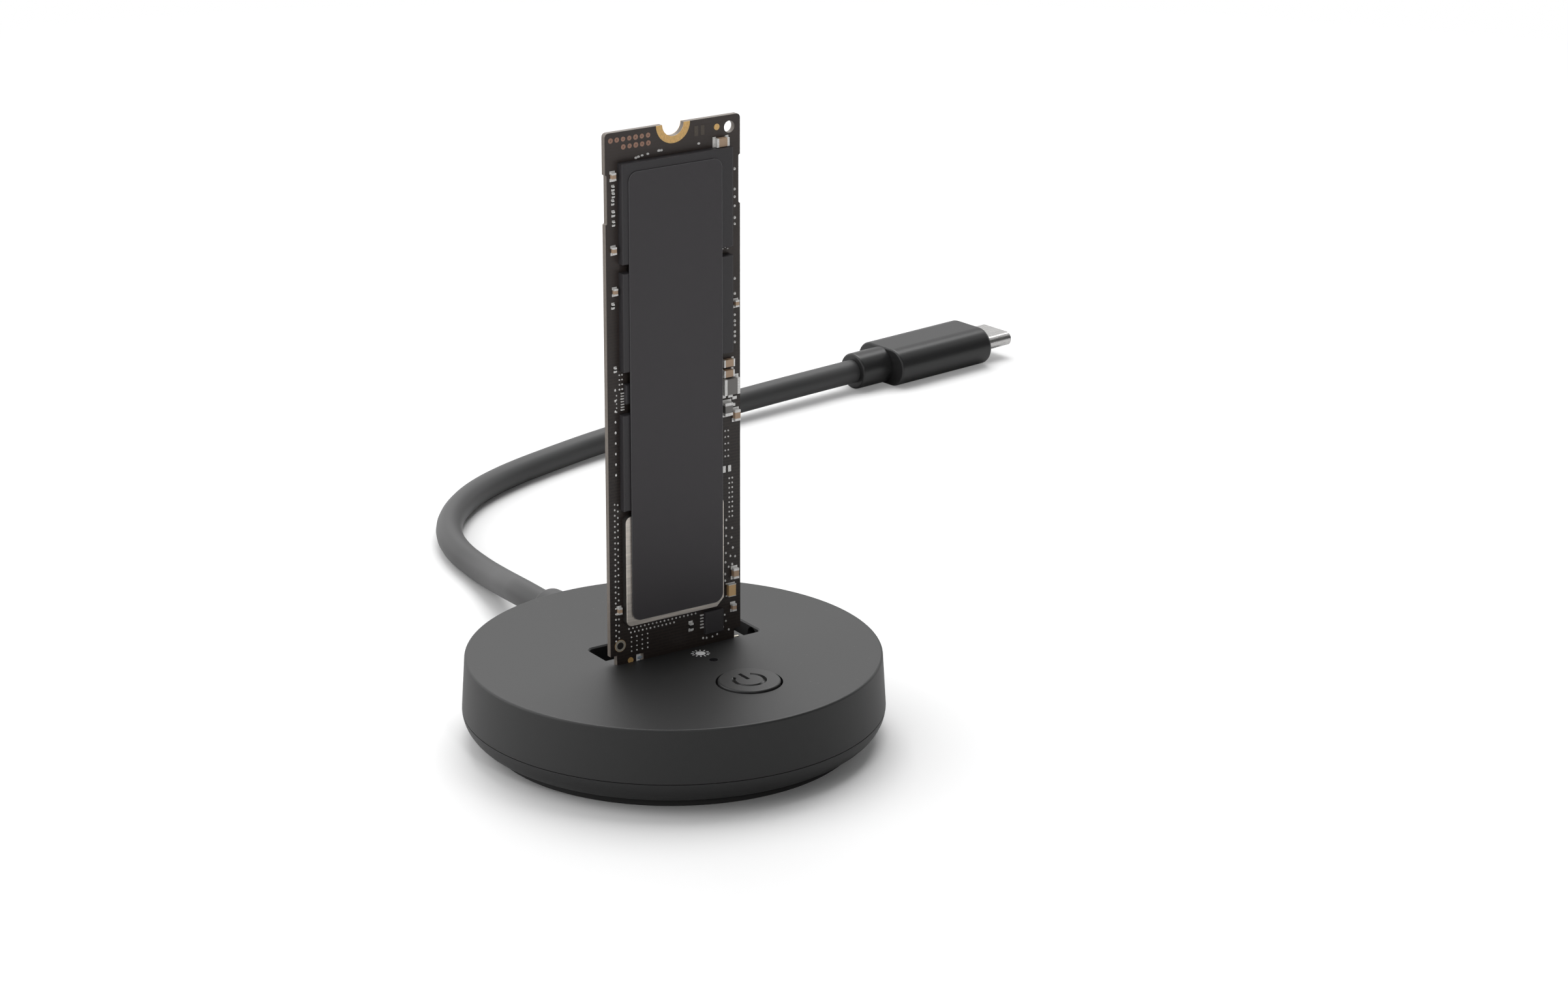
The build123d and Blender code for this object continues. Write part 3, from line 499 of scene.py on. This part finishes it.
node_materials = {
    "top_shell": shell_plastic,
    "base_shell": shell_plastic,
    "foot_ring": foot_rubber,
    "main_board": board_mask,
    "connector_housing": connector_plastic,
    "connector_contacts": gold,
    "bridge_chip": package_resin,
    "regulator_chip": package_resin,
    "power_choke": ferrite,
    "crystal": steel,
    "board_capacitors": tan_ceramic,
    "switch_body": steel,
    "switch_plunger": insert_plastic,
    "light_guide": light_guide,
    "status_led": connector_plastic,
    "strain_relief": cable_rubber,
    "cable_conductors": conductor_jacket,
    "plug_overmould": plug_plastic,
    "plug_shell": steel,
    "plug_insert": insert_plastic,
    "plug_contacts": gold,
    "drive_board": card_laminate,
    "drive_contacts": gold,
    "drive_mount_ring": gold,
    "drive_pads": gold,
    "drive_flash_upper": package_resin,
    "drive_flash_lower": package_resin,
    "drive_memory": package_resin,
    "drive_controller": package_resin,
    "drive_power_converter": package_resin,
    "drive_power_supply": package_resin,
    "drive_lid": lid_metal,
    "drive_label": label_film,
}
for name, node in nodes.items():
    material = node_materials.get(name, dark_steel)
    node.data.materials.clear()
    node.data.materials.append(material)


# Pieces that repeat, made by Geometry Nodes


def painted(tree, geometry, material):
    """A geometry with a material on it."""
    return add(tree, "GeometryNodeSetMaterial", {"Geometry": geometry, "Material": material}).outputs[0]


def box_part(tree, size, centre, material):
    """A box of a given size and centre with its material, inside a geometry tree."""
    cube = add(tree, "GeometryNodeMeshCube", {"Size": size})
    moved = add(tree, "GeometryNodeTransform", {"Geometry": cube.outputs["Mesh"], "Translation": centre})
    return painted(tree, moved.outputs[0], material)


def vector(tree, x, y, z):
    """A vector from three values or sockets."""
    return add(tree, "ShaderNodeCombineXYZ", {0: x, 1: y, 2: z}).outputs[0]


def finish_copies(tree, points, part, result, turn=(0, 0, 0)):
    """Places a part at every point with a small random size change, and makes the copies real."""
    smallest = 0.93
    largest = 1.07
    sizes = {2: smallest, 3: largest, "Seed": 7}
    spread = add(tree, "FunctionNodeRandomValue", sizes, data_type="FLOAT").outputs[1]
    copies = add(
        tree,
        "GeometryNodeInstanceOnPoints",
        {"Points": points, "Instance": part, "Rotation": turn, "Scale": spread},
    )
    real = add(tree, "GeometryNodeRealizeInstances", {0: copies.outputs[0]})
    tree.links.new(real.outputs[0], result["Geometry"])


def part_group(name, inputs):
    """An empty geometry group that is given points and gives back a mesh."""
    points = ("Geometry", "NodeSocketGeometry", None)
    return group_tree(name, "GeometryNodeTree", [points, *inputs], [("Geometry", "NodeSocketGeometry")])


def make_tinned_part():
    """A surface-mounted part: a ceramic body, two tinned ends and the solder under them."""
    core_length = 0.98
    core_height = 0.96
    end_width = 1.04
    pad_length = 1.5
    pad_width = 1.3
    pad_height = 0.06 * MM
    tree, given, result = part_group(
        "tinned part",
        [
            ("Length", "NodeSocketFloat", 1.0 * MM),
            ("Width", "NodeSocketFloat", 0.5 * MM),
            ("Height", "NodeSocketFloat", 0.5 * MM),
            ("End Length", "NodeSocketFloat", 0.25 * MM),
            ("Turn", "NodeSocketFloat", 0.0),
            ("Core", "NodeSocketMaterial", None),
            ("Ends", "NodeSocketMaterial", None),
        ],
    )
    length = given["Length"]
    width = given["Width"]
    height = given["Height"]
    end_length = given["End Length"]
    joined = add(tree, "GeometryNodeJoinGeometry")
    half_height = multiply(tree, height, -0.5)
    body_height = multiply(tree, height, core_height)
    body_size = vector(tree, multiply(tree, length, core_length), body_height, width)
    body = box_part(tree, body_size, vector(tree, 0.0, half_height, 0.0), given["Core"])
    tree.links.new(body, joined.inputs[0])
    end_size = vector(tree, end_length, height, multiply(tree, width, end_width))
    pad_across = multiply(tree, width, pad_width)
    pad_size = vector(tree, multiply(tree, end_length, pad_length), pad_height, pad_across)
    reach = calculate(tree, "SUBTRACT", length, end_length)
    for side in (-0.5, 0.5):
        end_centre = vector(tree, multiply(tree, reach, side), half_height, 0.0)
        pad_centre = vector(tree, multiply(tree, length, side), -0.5 * pad_height, 0.0)
        tree.links.new(box_part(tree, end_size, end_centre, given["Ends"]), joined.inputs[0])
        tree.links.new(box_part(tree, pad_size, pad_centre, given["Ends"]), joined.inputs[0])
    turn = vector(tree, 0.0, given["Turn"], 0.0)
    finish_copies(tree, given["Geometry"], joined.outputs[0], result, turn)
    return tree


def make_round_pad():
    """A round pad with a dimple of another material in its middle."""
    dimple_height = 1.3
    tree, given, result = part_group(
        "round pad",
        [
            ("Radius", "NodeSocketFloat", 0.3 * MM),
            ("Dimple", "NodeSocketFloat", 0.1 * MM),
            ("Thickness", "NodeSocketFloat", 0.04 * MM),
            ("Pad", "NodeSocketMaterial", None),
            ("Middle", "NodeSocketMaterial", None),
        ],
    )
    joined = add(tree, "GeometryNodeJoinGeometry")
    for radius, depth, material in (
        (given["Radius"], given["Thickness"], given["Pad"]),
        (given["Dimple"], multiply(tree, given["Thickness"], dimple_height), given["Middle"]),
    ):
        disc = add(tree, "GeometryNodeMeshCylinder", {"Vertices": 12, "Radius": radius, "Depth": depth})
        laid = add(
            tree,
            "GeometryNodeTransform",
            {"Geometry": disc.outputs["Mesh"], "Rotation": (pi / 2, 0, 0)},
        )
        tree.links.new(painted(tree, laid.outputs[0], material), joined.inputs[0])
    finish_copies(tree, given["Geometry"], joined.outputs[0], result)
    return tree


def make_solder_bump():
    """A small rounded solder bump or pad, longer one way than the other."""
    tree, given, result = part_group(
        "solder bump",
        [
            ("Width", "NodeSocketFloat", 0.3 * MM),
            ("Length", "NodeSocketFloat", 0.3 * MM),
            ("Height", "NodeSocketFloat", 0.12 * MM),
            ("Metal", "NodeSocketMaterial", None),
        ],
    )
    ball = add(tree, "GeometryNodeMeshUVSphere", {"Segments": 8, "Rings": 5, "Radius": 0.5})
    size = vector(tree, given["Width"], multiply(tree, given["Height"], 2.0), given["Length"])
    shaped = add(tree, "GeometryNodeTransform", {"Geometry": ball.outputs["Mesh"], "Scale": size})
    bump = painted(tree, shaped.outputs[0], given["Metal"])
    finish_copies(tree, given["Geometry"], bump, result)
    return tree


def make_flat_pad():
    """A flat rectangular pad."""
    tree, given, result = part_group(
        "flat pad",
        [
            ("Width", "NodeSocketFloat", 0.3 * MM),
            ("Length", "NodeSocketFloat", 0.3 * MM),
            ("Height", "NodeSocketFloat", 0.05 * MM),
            ("Metal", "NodeSocketMaterial", None),
        ],
    )
    size = vector(tree, given["Width"], multiply(tree, given["Height"], 2.0), given["Length"])
    pad = box_part(tree, size, (0, 0, 0), given["Metal"])
    finish_copies(tree, given["Geometry"], pad, result)
    return tree


def make_sun_sign():
    """A small printed sun: a disc with short rays around it."""
    tree, given, result = part_group(
        "sun sign",
        [
            ("Disc Radius", "NodeSocketFloat", 0.6 * MM),
            ("Ray Circle", "NodeSocketFloat", 1.0 * MM),
            ("Ray Length", "NodeSocketFloat", 0.45 * MM),
            ("Ray Width", "NodeSocketFloat", 0.14 * MM),
            ("Rays", "NodeSocketInt", 12),
            ("Thickness", "NodeSocketFloat", 0.02 * MM),
            ("Ink", "NodeSocketMaterial", None),
        ],
    )
    ring = add(tree, "GeometryNodeMeshCircle", {"Vertices": given["Rays"], "Radius": given["Ray Circle"]})
    ray = add(
        tree,
        "GeometryNodeMeshCube",
        {"Size": vector(tree, given["Ray Length"], given["Ray Width"], given["Thickness"])},
    )
    place = add(tree, "GeometryNodeInputPosition").outputs[0]
    turn = add(tree, "FunctionNodeAlignRotationToVector", {"Vector": place}, axis="X").outputs[0]
    rays = add(
        tree,
        "GeometryNodeInstanceOnPoints",
        {"Points": ring.outputs["Mesh"], "Instance": ray.outputs["Mesh"], "Rotation": turn},
    )
    disc = add(
        tree,
        "GeometryNodeMeshCylinder",
        {"Vertices": 32, "Radius": given["Disc Radius"], "Depth": given["Thickness"]},
    )
    joined = add(tree, "GeometryNodeJoinGeometry")
    tree.links.new(rays.outputs[0], joined.inputs[0])
    tree.links.new(disc.outputs["Mesh"], joined.inputs[0])
    sign = painted(tree, joined.outputs[0], given["Ink"])
    placed = add(tree, "GeometryNodeInstanceOnPoints", {"Points": given["Geometry"], "Instance": sign})
    real = add(tree, "GeometryNodeRealizeInstances", {0: placed.outputs[0]})
    tree.links.new(real.outputs[0], result["Geometry"])
    return tree


tinned_part = make_tinned_part()
round_pad = make_round_pad()
solder_bump = make_solder_bump()
flat_pad = make_flat_pad()
sun_sign = make_sun_sign()


def link_object(name, data):
    """A new object at the origin."""
    made = bpy.data.objects.new(name, data)
    bpy.context.scene.collection.objects.link(made)
    return made


def bake(piece):
    """Turns a piece's live modifiers into its plain mesh."""
    bpy.context.view_layer.update()
    graph = bpy.context.evaluated_depsgraph_get()
    mesh = bpy.data.meshes.new_from_object(
        piece.evaluated_get(graph),
        preserve_all_data_layers=True,
        depsgraph=graph,
    )
    piece.modifiers.clear()
    piece.data = mesh
    mesh.name = piece.name


def grow(name, points, tree, body, slot_name, **values):
    """Copies of a part at the given points, as one plain mesh that rides on a body."""
    mesh = bpy.data.meshes.new(name)
    mesh.from_pydata([tuple(point) for point in points], [], [])
    piece = link_object(name, mesh)
    live = piece.modifiers.new(name, "NODES")
    live.node_group = tree
    names = {item.name: item.identifier for item in tree.interface.items_tree if item.in_out == "INPUT"}
    for label, value in values.items():
        live[names[socket_name(label)]] = value
    bake(piece)
    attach(piece, body)
    return piece


def column(x, low, high, step):
    """Places on the card in an upward line, a step apart."""
    count = round((high - low) / step) + 1
    return [(x, low + index * step) for index in range(count)]


def grid(xs, ys):
    """Places on the card in rows and columns."""
    return [(x, y) for x in xs for y in ys]


# Meshes made point by point


def carry_profile(mesh, places, across, up, profile, closed=False):
    """Adds a bar to a mesh in the making: a profile of (across, up) points carried along places."""
    rims = []
    for place, way in zip(places, across):
        rims.append([mesh.verts.new(place + way * out + up * level) for out, level in profile])
    count = len(profile)
    following = rims[1:] + rims[:1] if closed else rims[1:]
    for first, second in zip(rims, following):
        for side in range(count):
            after = (side + 1) % count
            mesh.faces.new((first[side], first[after], second[after], second[side]))
    if not closed:
        mesh.faces.new(reversed(rims[0]))
        mesh.faces.new(rims[-1])


def finish_mesh(mesh, name):
    """Closes a mesh in the making with outward faces."""
    bmesh.ops.remove_doubles(mesh, verts=mesh.verts, dist=0.001 * MM)
    bmesh.ops.recalc_face_normals(mesh, faces=mesh.faces)
    data = bpy.data.meshes.new(name)
    mesh.to_mesh(data)
    mesh.free()
    return data


# Small parts of the drive


def fit_parts(name, places, size, core, upright=False):
    """Tinned parts on the card's front; size is length, width, height and end length in millimetres."""
    length, width, height, end_length = (value * MM for value in size)
    return grow(
        name,
        [on_card(x, y) for x, y in places],
        tinned_part,
        "drive",
        "ceramic",
        length=length,
        width=width,
        height=height,
        end_length=end_length,
        turn=pi / 2 if upright else 0.0,
        core=core,
        ends=tin,
    )


def fit_capacitors():
    """Capacitors and resistors, by size and by the way they lie."""
    fit_parts("capacitor_top", [(7.75, 76.4)], (2.0, 1.15, 0.75, 0.34), tan_ceramic)
    fit_parts("capacitors_wide", [(8.76, 44.35), (8.76, 42.8)], (1.75, 1.0, 0.72, 0.24), tan_ceramic)
    coil = fit_parts("coil_wide", [(9.05, 40.9)], (2.5, 2.2, 1.0, 0.42), grey_ceramic)
    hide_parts("drive_coil")
    fit_parts("capacitor_grey", [(8.65, 37.55)], (1.85, 1.2, 0.75, 0.4), grey_ceramic, upright=True)
    tall = [(10.15, 36.4), (9.9, 12.6)]
    fit_parts("capacitor_tall", tall, (1.55, 0.85, 0.72, 0.34), tan_ceramic, upright=True)
    fit_parts("capacitor_low", [(9.24, 10.15)], (1.8, 1.15, 0.62, 0.1), gold_ceramic, upright=True)
    small = [(-9.86, 73.95), (-9.85, 63.5), (-9.71, 57.6), (10.24, 52.8), (9.67, 7.4), (-9.55, 10.8)]
    small_size = (1.05, 0.62, 0.55, 0.26)
    capacitors = fit_parts("capacitors_small", small, small_size, tan_ceramic, upright=True)
    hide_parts("drive_capacitors")
    fit_parts("resistor_low", [(2.45, 5.9)], (1.1, 0.5, 0.4, 0.3), dark_body_and_hole_shade, upright=True)
    tiny = [
        (-10.0, 55.6), (-9.8, 72.3), (-9.75, 71.3), (-9.85, 70.3),
        (-9.8, 68.7), (-9.75, 67.3), (-9.75, 46.4),
    ]
    fit_parts("resistors_tiny", tiny, (0.62, 0.34, 0.26, 0.2), dark_body_and_hole_shade, upright=True)


def fit_bumps(name, places, width, length, height=0.13, finish=tin, form=solder_bump):
    """Small solder bumps or flat pads on the card's front face; the sizes are in millimetres."""
    grow(
        name,
        [on_card(x, y) for x, y in places],
        form,
        "drive",
        "can_steel",
        width=width * MM,
        length=length * MM,
        height=height * MM,
        metal=finish,
    )


def fit_left_solder():
    """Solder points and the pins of the small array, left of the packages."""
    rows = column(-10.05, 6.2, 26.6, 0.82) + column(-9.55, 6.6, 26.2, 0.95)
    fit_bumps("bumps_left", rows, 0.27, 0.30)
    fit_bumps("bumps_left_mid", column(-9.75, 31.0, 43.5, 1.55), 0.3, 0.42)
    fit_bumps("bumps_left_block", grid([-9.05, -8.6], [43.4, 44.1, 44.8, 45.5]), 0.28, 0.28)
    fit_bumps("array_pins", column(-8.62, 40.4, 42.8, 0.4), 0.55, 0.17, form=flat_pad)
    fit_bumps("array_row", column(-9.55, 40.2, 42.6, 0.6), 0.2, 0.25)


def fit_right_solder():
    """Solder points and pads right of the packages."""
    high = [72.2, 69.3, 68.2, 66.9, 65.2, 64.3, 56.4, 54.2, 51.1, 50.2, 49.6, 48.6, 48.0, 47.1]
    fit_bumps("bumps_right_high", [(10.08, y) for y in high], 0.42, 0.46, 0.16)
    fit_bumps("bumps_right_mid", grid([8.43, 8.95], [34.2, 33.3, 32.3, 31.3, 30.4]), 0.3, 0.3)
    fit_bumps("pads_right", [(8.22, 28.5), (9.15, 28.5)], 0.5, 0.95, 0.08, form=flat_pad)
    by_coil = [(8.1, 39.35), (9.3, 39.3), (10.0, 38.9), (9.75, 37.9)]
    fit_bumps("pads_by_coil", by_coil, 0.75, 0.45, 0.12, form=flat_pad)
    rows = [27.0 - 0.72 * row for row in range(9)]
    fit_bumps("bumps_right_low", grid([9.1, 9.62], rows), 0.3, 0.32)
    scattered = [
        (8.55, 19.6), (8.55, 18.4), (9.5, 18.0), (8.9, 17.2), (9.7, 16.4),
        (8.5, 15.8), (9.3, 15.2), (8.45, 14.4), (9.0, 13.6), (8.4, 12.6),
        (8.4, 11.6), (8.6, 20.8), (9.6, 19.4), (10.1, 15.0), (9.6, 13.9),
    ]
    fit_bumps("bumps_right_scattered", scattered, 0.34, 0.42, 0.12)


def fit_low_solder():
    """Solder points under the lid, and the points and pins by the small supply chip."""
    first_row = [(-7.9 + 0.66 * step, 7.65) for step in range(18)]
    second_row = [(-7.6 + 0.66 * step, 7.05) for step in range(12)]
    fit_bumps("bumps_under_lid", first_row + second_row, 0.28, 0.3)
    fit_bumps("bumps_low_block", grid([-7.5, -6.6, -5.7, -4.8], [6.3, 5.6, 4.9, 4.2]), 0.25, 0.25)
    right = [
        (4.6, 3.6), (5.2, 3.5), (6.2, 3.5), (7.0, 3.7),
        (8.0, 4.6), (8.5, 5.4), (8.3, 6.4), (9.0, 4.0),
    ]
    fit_bumps("bumps_low_right", right, 0.32, 0.36)
    fit_bumps("supply_pins", column(4.35, 5.3, 7.2, 0.475), 0.55, 0.2, form=flat_pad)


def fit_high_solder():
    """Solder points at the card's top and between the flash packages."""
    top = [
        (-6.0, 76.0), (-5.6, 76.1), (-5.0, 76.2), (-4.1, 76.3),
        (-2.3, 76.5), (-1.9, 76.5), (4.2, 76.6),
    ]
    fit_bumps("bumps_top", top, 0.5, 0.38, 0.18)
    between = [(7.6, 61.1), (8.1, 61.0), (8.5, 61.15), (8.9, 60.9)]
    fit_bumps("bumps_between_flash", between, 0.3, 0.22, 0.12)


def fit_round_pads(name, points, radius, dimple, thickness, pad):
    """Round pads with a dark middle, painted shade in their holes; the sizes are in millimetres."""
    grow(
        name,
        points,
        round_pad,
        "drive",
        "gold_plating",
        radius=radius * MM,
        dimple=dimple * MM,
        thickness=thickness * MM,
        pad=pad,
        middle=dark_body_and_hole_shade,
    )


def fit_vias():
    """Copper pads in two rows, the dull test pads and the pads of the rear face."""
    upper = [(-10.06 + 1.005 * step, 78.92) for step in range(7)]
    lower = [(-8.02 + 1.0075 * step, 77.82) for step in range(5)]
    front = [on_card(x, y) for x, y in upper + lower]
    fit_round_pads("copper_pads", front, radius=0.37, dimple=0.07, thickness=0.05, pad=copper)
    fit_bumps("dull_pads", [(3.8, 78.43), (4.83, 78.43)], 0.6, 1.4, 0.02, dull_copper, form=flat_pad)
    rear_left = grid([-9.6, -8.9], [6.0 + 1.4 * row for row in range(20)])
    rear_right = grid([9.2, 9.9], [8.0 + 2.2 * row for row in range(14)])
    rear = [behind_card(x, y) for x, y in rear_left + rear_right]
    fit_round_pads("rear_pads", rear, radius=0.16, dimple=0.07, thickness=0.03, pad=copper)


def fit_hole_barrel():
    """The pale metal barrel of the card's lower hole with painted shade in its middle, and a bluish steel
    pad in the key notch as a painted highlight.
    """
    hole = on_card(-9.38, 5.4, out=0.01)
    fit_round_pads("hole_barrel", [hole], radius=0.86, dimple=0.52, thickness=0.07, pad=pale_metal)
    # The bright pad in the key notch is a painted highlight.
    fit_bumps("key_notch_highlight", [(-6.15, 2.95)], 0.9, 0.5, 0.05, notch_highlight_steel)


def fit_label_edge():
    """The thin bright edge that the label's cut leaves round it."""
    low, high = [Vector(corner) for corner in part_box("drive_label")]
    corner_radius = 1.4 * MM
    width = 0.035 * MM
    ridge = 0.4 * width
    turns = 10
    places = []
    ways = []
    corners = [(high.x, high.z, 0), (low.x, high.z, 1), (low.x, low.z, 2), (high.x, low.z, 3)]
    for x, z, quarter in corners:
        middle = Vector((x, low.y, z))
        middle.x += corner_radius if x == low.x else -corner_radius
        middle.z += corner_radius if z == low.z else -corner_radius
        for step in range(turns + 1):
            turn = (quarter + step / turns) * pi / 2
            way = Vector((cos(turn), 0, sin(turn)))
            places.append(middle + way * (corner_radius - width))
            ways.append(way)
    edge = bmesh.new()
    profile = [(-width, 0.0), (width, 0.0), (0.0, ridge)]
    carry_profile(edge, places, ways, Vector((0, -1, 0)), profile, closed=True)
    piece = link_object("label_edge", finish_mesh(edge, "label_edge"))
    piece.data.materials.append(film_edge)
    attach(piece, "drive")


# Small parts of the dock


def fit_connector_tabs():
    """The bright ends of the connector's hold-down clips, at both ends of the slot."""
    tab_size = Vector((0.7, 0.35, 0.1)) * MM
    housing_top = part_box("connector_housing")[1][2]
    tab_y = card_front + 0.9 * MM
    tab_z = housing_top + 0.05 * MM
    for name, tab_x in (("clip_left", -9.0 * MM), ("clip_right", 11.3 * MM)):
        tab = bmesh.new()
        made = bmesh.ops.create_cube(tab, size=1.0)
        for vertex in made["verts"]:
            vertex.co = Vector((tab_x, tab_y, tab_z)) + vertex.co * tab_size
        piece = link_object(name, finish_mesh(tab, name))
        piece.data.materials.append(pale_metal)
        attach(piece, "dock")


def fit_sun():
    """The printed sun beside the status light."""
    from_light_x = -0.2 * MM
    from_light_y = 3.1 * MM
    centre = Vector((light_centre.x + from_light_x, light_centre.y + from_light_y, dock_top))
    grow(
        "light_sign",
        [centre],
        sun_sign,
        "dock",
        "connector_plastic",
        disc_radius=0.72 * MM,
        ray_circle=1.15 * MM,
        ray_length=0.42 * MM,
        ray_width=0.17 * MM,
        thickness=0.03 * MM,
        ink=sign_ink,
    )


# Power button with its engraved sign


def make_sign_cutter():
    """The body of the power sign, a ring with a gap and a stroke, to cut out of the button."""
    half_stroke = 0.28 * MM
    sign_depth = 0.22 * MM
    over = 0.3 * MM
    sign_radius = 2.2 * MM
    stroke_start = 0.2 * MM
    stroke_end = 2.6 * MM
    gap = radians(36)
    steps = 64
    up = Vector((0, 0, 1))
    centre = Vector((button_centre.x, button_centre.y, button_top))
    groove = [
        (-half_stroke, over),
        (-half_stroke, 0.0),
        (0.0, -sign_depth),
        (half_stroke, 0.0),
        (half_stroke, over),
    ]
    turns = [pi / 2 + gap + index * (2 * pi - 2 * gap) / steps for index in range(steps + 1)]
    ways = [Vector((cos(turn), sin(turn), 0)) for turn in turns]
    cutter = bmesh.new()
    carry_profile(cutter, [centre + way * sign_radius for way in ways], ways, up, groove)
    stroke = [centre + Vector((0, reach, 0)) for reach in (stroke_start, stroke_end)]
    carry_profile(cutter, stroke, [Vector((1, 0, 0))] * 2, up, groove)
    tool = link_object("sign_cutter", finish_mesh(cutter, "sign_cutter"))
    # The cut faces take the darker groove plastic, painted shade in the sign.
    tool.data.materials.append(shaded_groove_plastic)
    return tool


def make_button():
    """The button's cap with the power sign cut into its top."""
    tool = make_sign_cutter()
    cap = bmesh.new()
    cap.from_mesh(nodes["power_button"].data)
    piece = link_object("button_cap", finish_mesh(cap, "button_cap"))
    piece.data.materials.append(button_plastic)
    cut = piece.modifiers.new("sign", "BOOLEAN")
    cut.operation = "DIFFERENCE"
    cut.solver = "EXACT"
    cut.material_mode = "TRANSFER"
    cut.object = tool
    bake(piece)
    bpy.data.objects.remove(tool)
    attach(piece, "button")
    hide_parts("power_button")


# Cable


def make_cable():
    """The free cable, from the strain relief round to its plug on the floor."""
    curve = bpy.data.curves.new("cable", "CURVE")
    curve.dimensions = "3D"
    line = curve.splines.new("NURBS")
    line.points.add(len(cable_route) - 1)
    for point, place in zip(line.points, cable_route):
        point.co = (place[0] * MM, place[1] * MM, place[2] * MM, 1.0)
    line.order_u = 3
    line.use_endpoint_u = True
    line.resolution_u = 12
    curve.bevel_depth = cable_diameter / 2
    curve.bevel_resolution = cable_bevel_steps
    curve.use_fill_caps = True
    curve.materials.append(cable_rubber)
    cable = link_object("cable", curve)
    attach(cable, "dock")
    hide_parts("usb_cable")


make_cable()
make_button()
fit_capacitors()
fit_left_solder()
fit_right_solder()
fit_low_solder()
fit_high_solder()
fit_vias()
fit_hole_barrel()
fit_label_edge()
fit_connector_tabs()
fit_sun()


# Floor, light and camera


def make_floor():
    """A plain pale floor that turns pure white away from the object."""
    reach = 3.0
    white_from = 0.10
    white_beyond = 0.50
    paper_for_light = (0.60, 0.60, 0.60, 1)
    paper_for_camera = (0.90, 0.90, 0.90, 1)
    corners = [(-reach, -reach, 0), (reach, -reach, 0), (reach, reach, 0), (-reach, reach, 0)]
    data = bpy.data.meshes.new("floor")
    data.from_pydata(corners, [], [(0, 1, 2, 3)])
    floor = link_object("floor", data)
    material, tree, shader = start_material("floor paper", roughness=0.9, specular_ior_level=0.1)
    away = add(tree, "ShaderNodeVectorMath", {0: object_place(tree)}, operation="LENGTH").outputs["Value"]
    far = carried(tree, away, white_from, white_beyond)
    by_camera = add(tree, "ShaderNodeLightPath").outputs["Is Camera Ray"]
    paper = blend_colours(tree, by_camera, paper_for_light, paper_for_camera)
    tree.links.new(paper, shader.inputs["Base Color"])
    white = add(tree, "ShaderNodeEmission", {"Color": (1, 1, 1, 1), "Strength": 1.0})
    seen = multiply(tree, by_camera, far)
    mixed = add(tree, "ShaderNodeMixShader", {0: seen, 1: shader.outputs[0], 2: white.outputs[0]})
    tree.links.new(mixed.outputs[0], tree.nodes["Material Output"].inputs["Surface"])
    data.materials.append(material)


def make_world():
    """White for the camera; for the rest brightest behind the object and to its left, dark in front."""
    bright_way = (-0.60, 0.78, 0.18)
    dark_from = -0.25
    bright_from = 0.75
    darkest = 0.065
    brightest = 1.3
    world = bpy.data.worlds.new("studio")
    bpy.context.scene.world = world
    world.use_nodes = True
    tree = world.node_tree
    ambient = tree.nodes["Background"]
    way = add(tree, "ShaderNodeTexCoord").outputs["Generated"]
    behind = add(tree, "ShaderNodeVectorMath", {0: way, 1: bright_way}, operation="DOT_PRODUCT")
    bright = carried(tree, behind.outputs["Value"], dark_from, bright_from, darkest, brightest)
    tree.links.new(grey_colour(tree, bright), ambient.inputs["Color"])
    white = add(tree, "ShaderNodeBackground", {"Color": (1, 1, 1, 1), "Strength": 1.0})
    by_camera = add(tree, "ShaderNodeLightPath").outputs["Is Camera Ray"]
    mixed = add(tree, "ShaderNodeMixShader", {0: by_camera, 1: ambient.outputs[0], 2: white.outputs[0]})
    tree.links.new(mixed.outputs[0], tree.nodes["World Output"].inputs["Surface"])


def make_lamp(name, place, aim, size, power):
    """A soft square lamp turned towards a point."""
    lamp = bpy.data.lights.new(name, "AREA")
    lamp.shape = "SQUARE"
    lamp.size = size
    lamp.energy = power
    made = link_object(name, lamp)
    made.location = place
    made.rotation_euler = (Vector(aim) - Vector(place)).to_track_quat("-Z", "Y").to_euler()


def make_camera():
    """The camera at the photograph's viewpoint."""
    level = Vector((cos(view_azimuth), sin(view_azimuth), 0))
    ahead = Vector((-sin(view_azimuth), cos(view_azimuth), 0))
    back = Vector((0, 0, sin(view_elevation))) - ahead * cos(view_elevation)
    up = back.cross(level)
    right = level * cos(view_roll) + up * sin(view_roll)
    rise = up * cos(view_roll) - level * sin(view_roll)
    target = level * aim_right + Vector((0, 0, dock_top + aim_up))
    data = bpy.data.cameras.new("camera")
    data.sensor_width = sensor_width
    data.lens = focal_pixels / image_width_pixels * sensor_width
    data.clip_start = 0.01
    camera = link_object("camera", data)
    turn = Matrix((right, rise, back)).transposed().to_4x4()
    camera.matrix_world = Matrix.Translation(target + back * view_distance) @ turn
    bpy.context.scene.camera = camera


make_floor()
make_world()

# Each lamp's place, the point it looks at and its side in metres, and its power in watts

make_lamp("left softbox", (-0.40, 0.30, 0.30), (0, 0.02, 0.02), size=0.35, power=0.35)
make_lamp("right softbox", (0.80, 0.15, 0.35), (0, 0.03, 0.02), size=0.5, power=1.0)
make_lamp("top softbox", (0.30, 0.34, 0.80), (0, 0.02, 0.0), size=0.7, power=6.2)
make_lamp("front lamp", (-0.20, -0.75, 0.45), (0, 0.0, 0.05), size=0.08, power=0.85)

make_camera()
bpy.context.scene.view_settings.view_transform = "Standard"
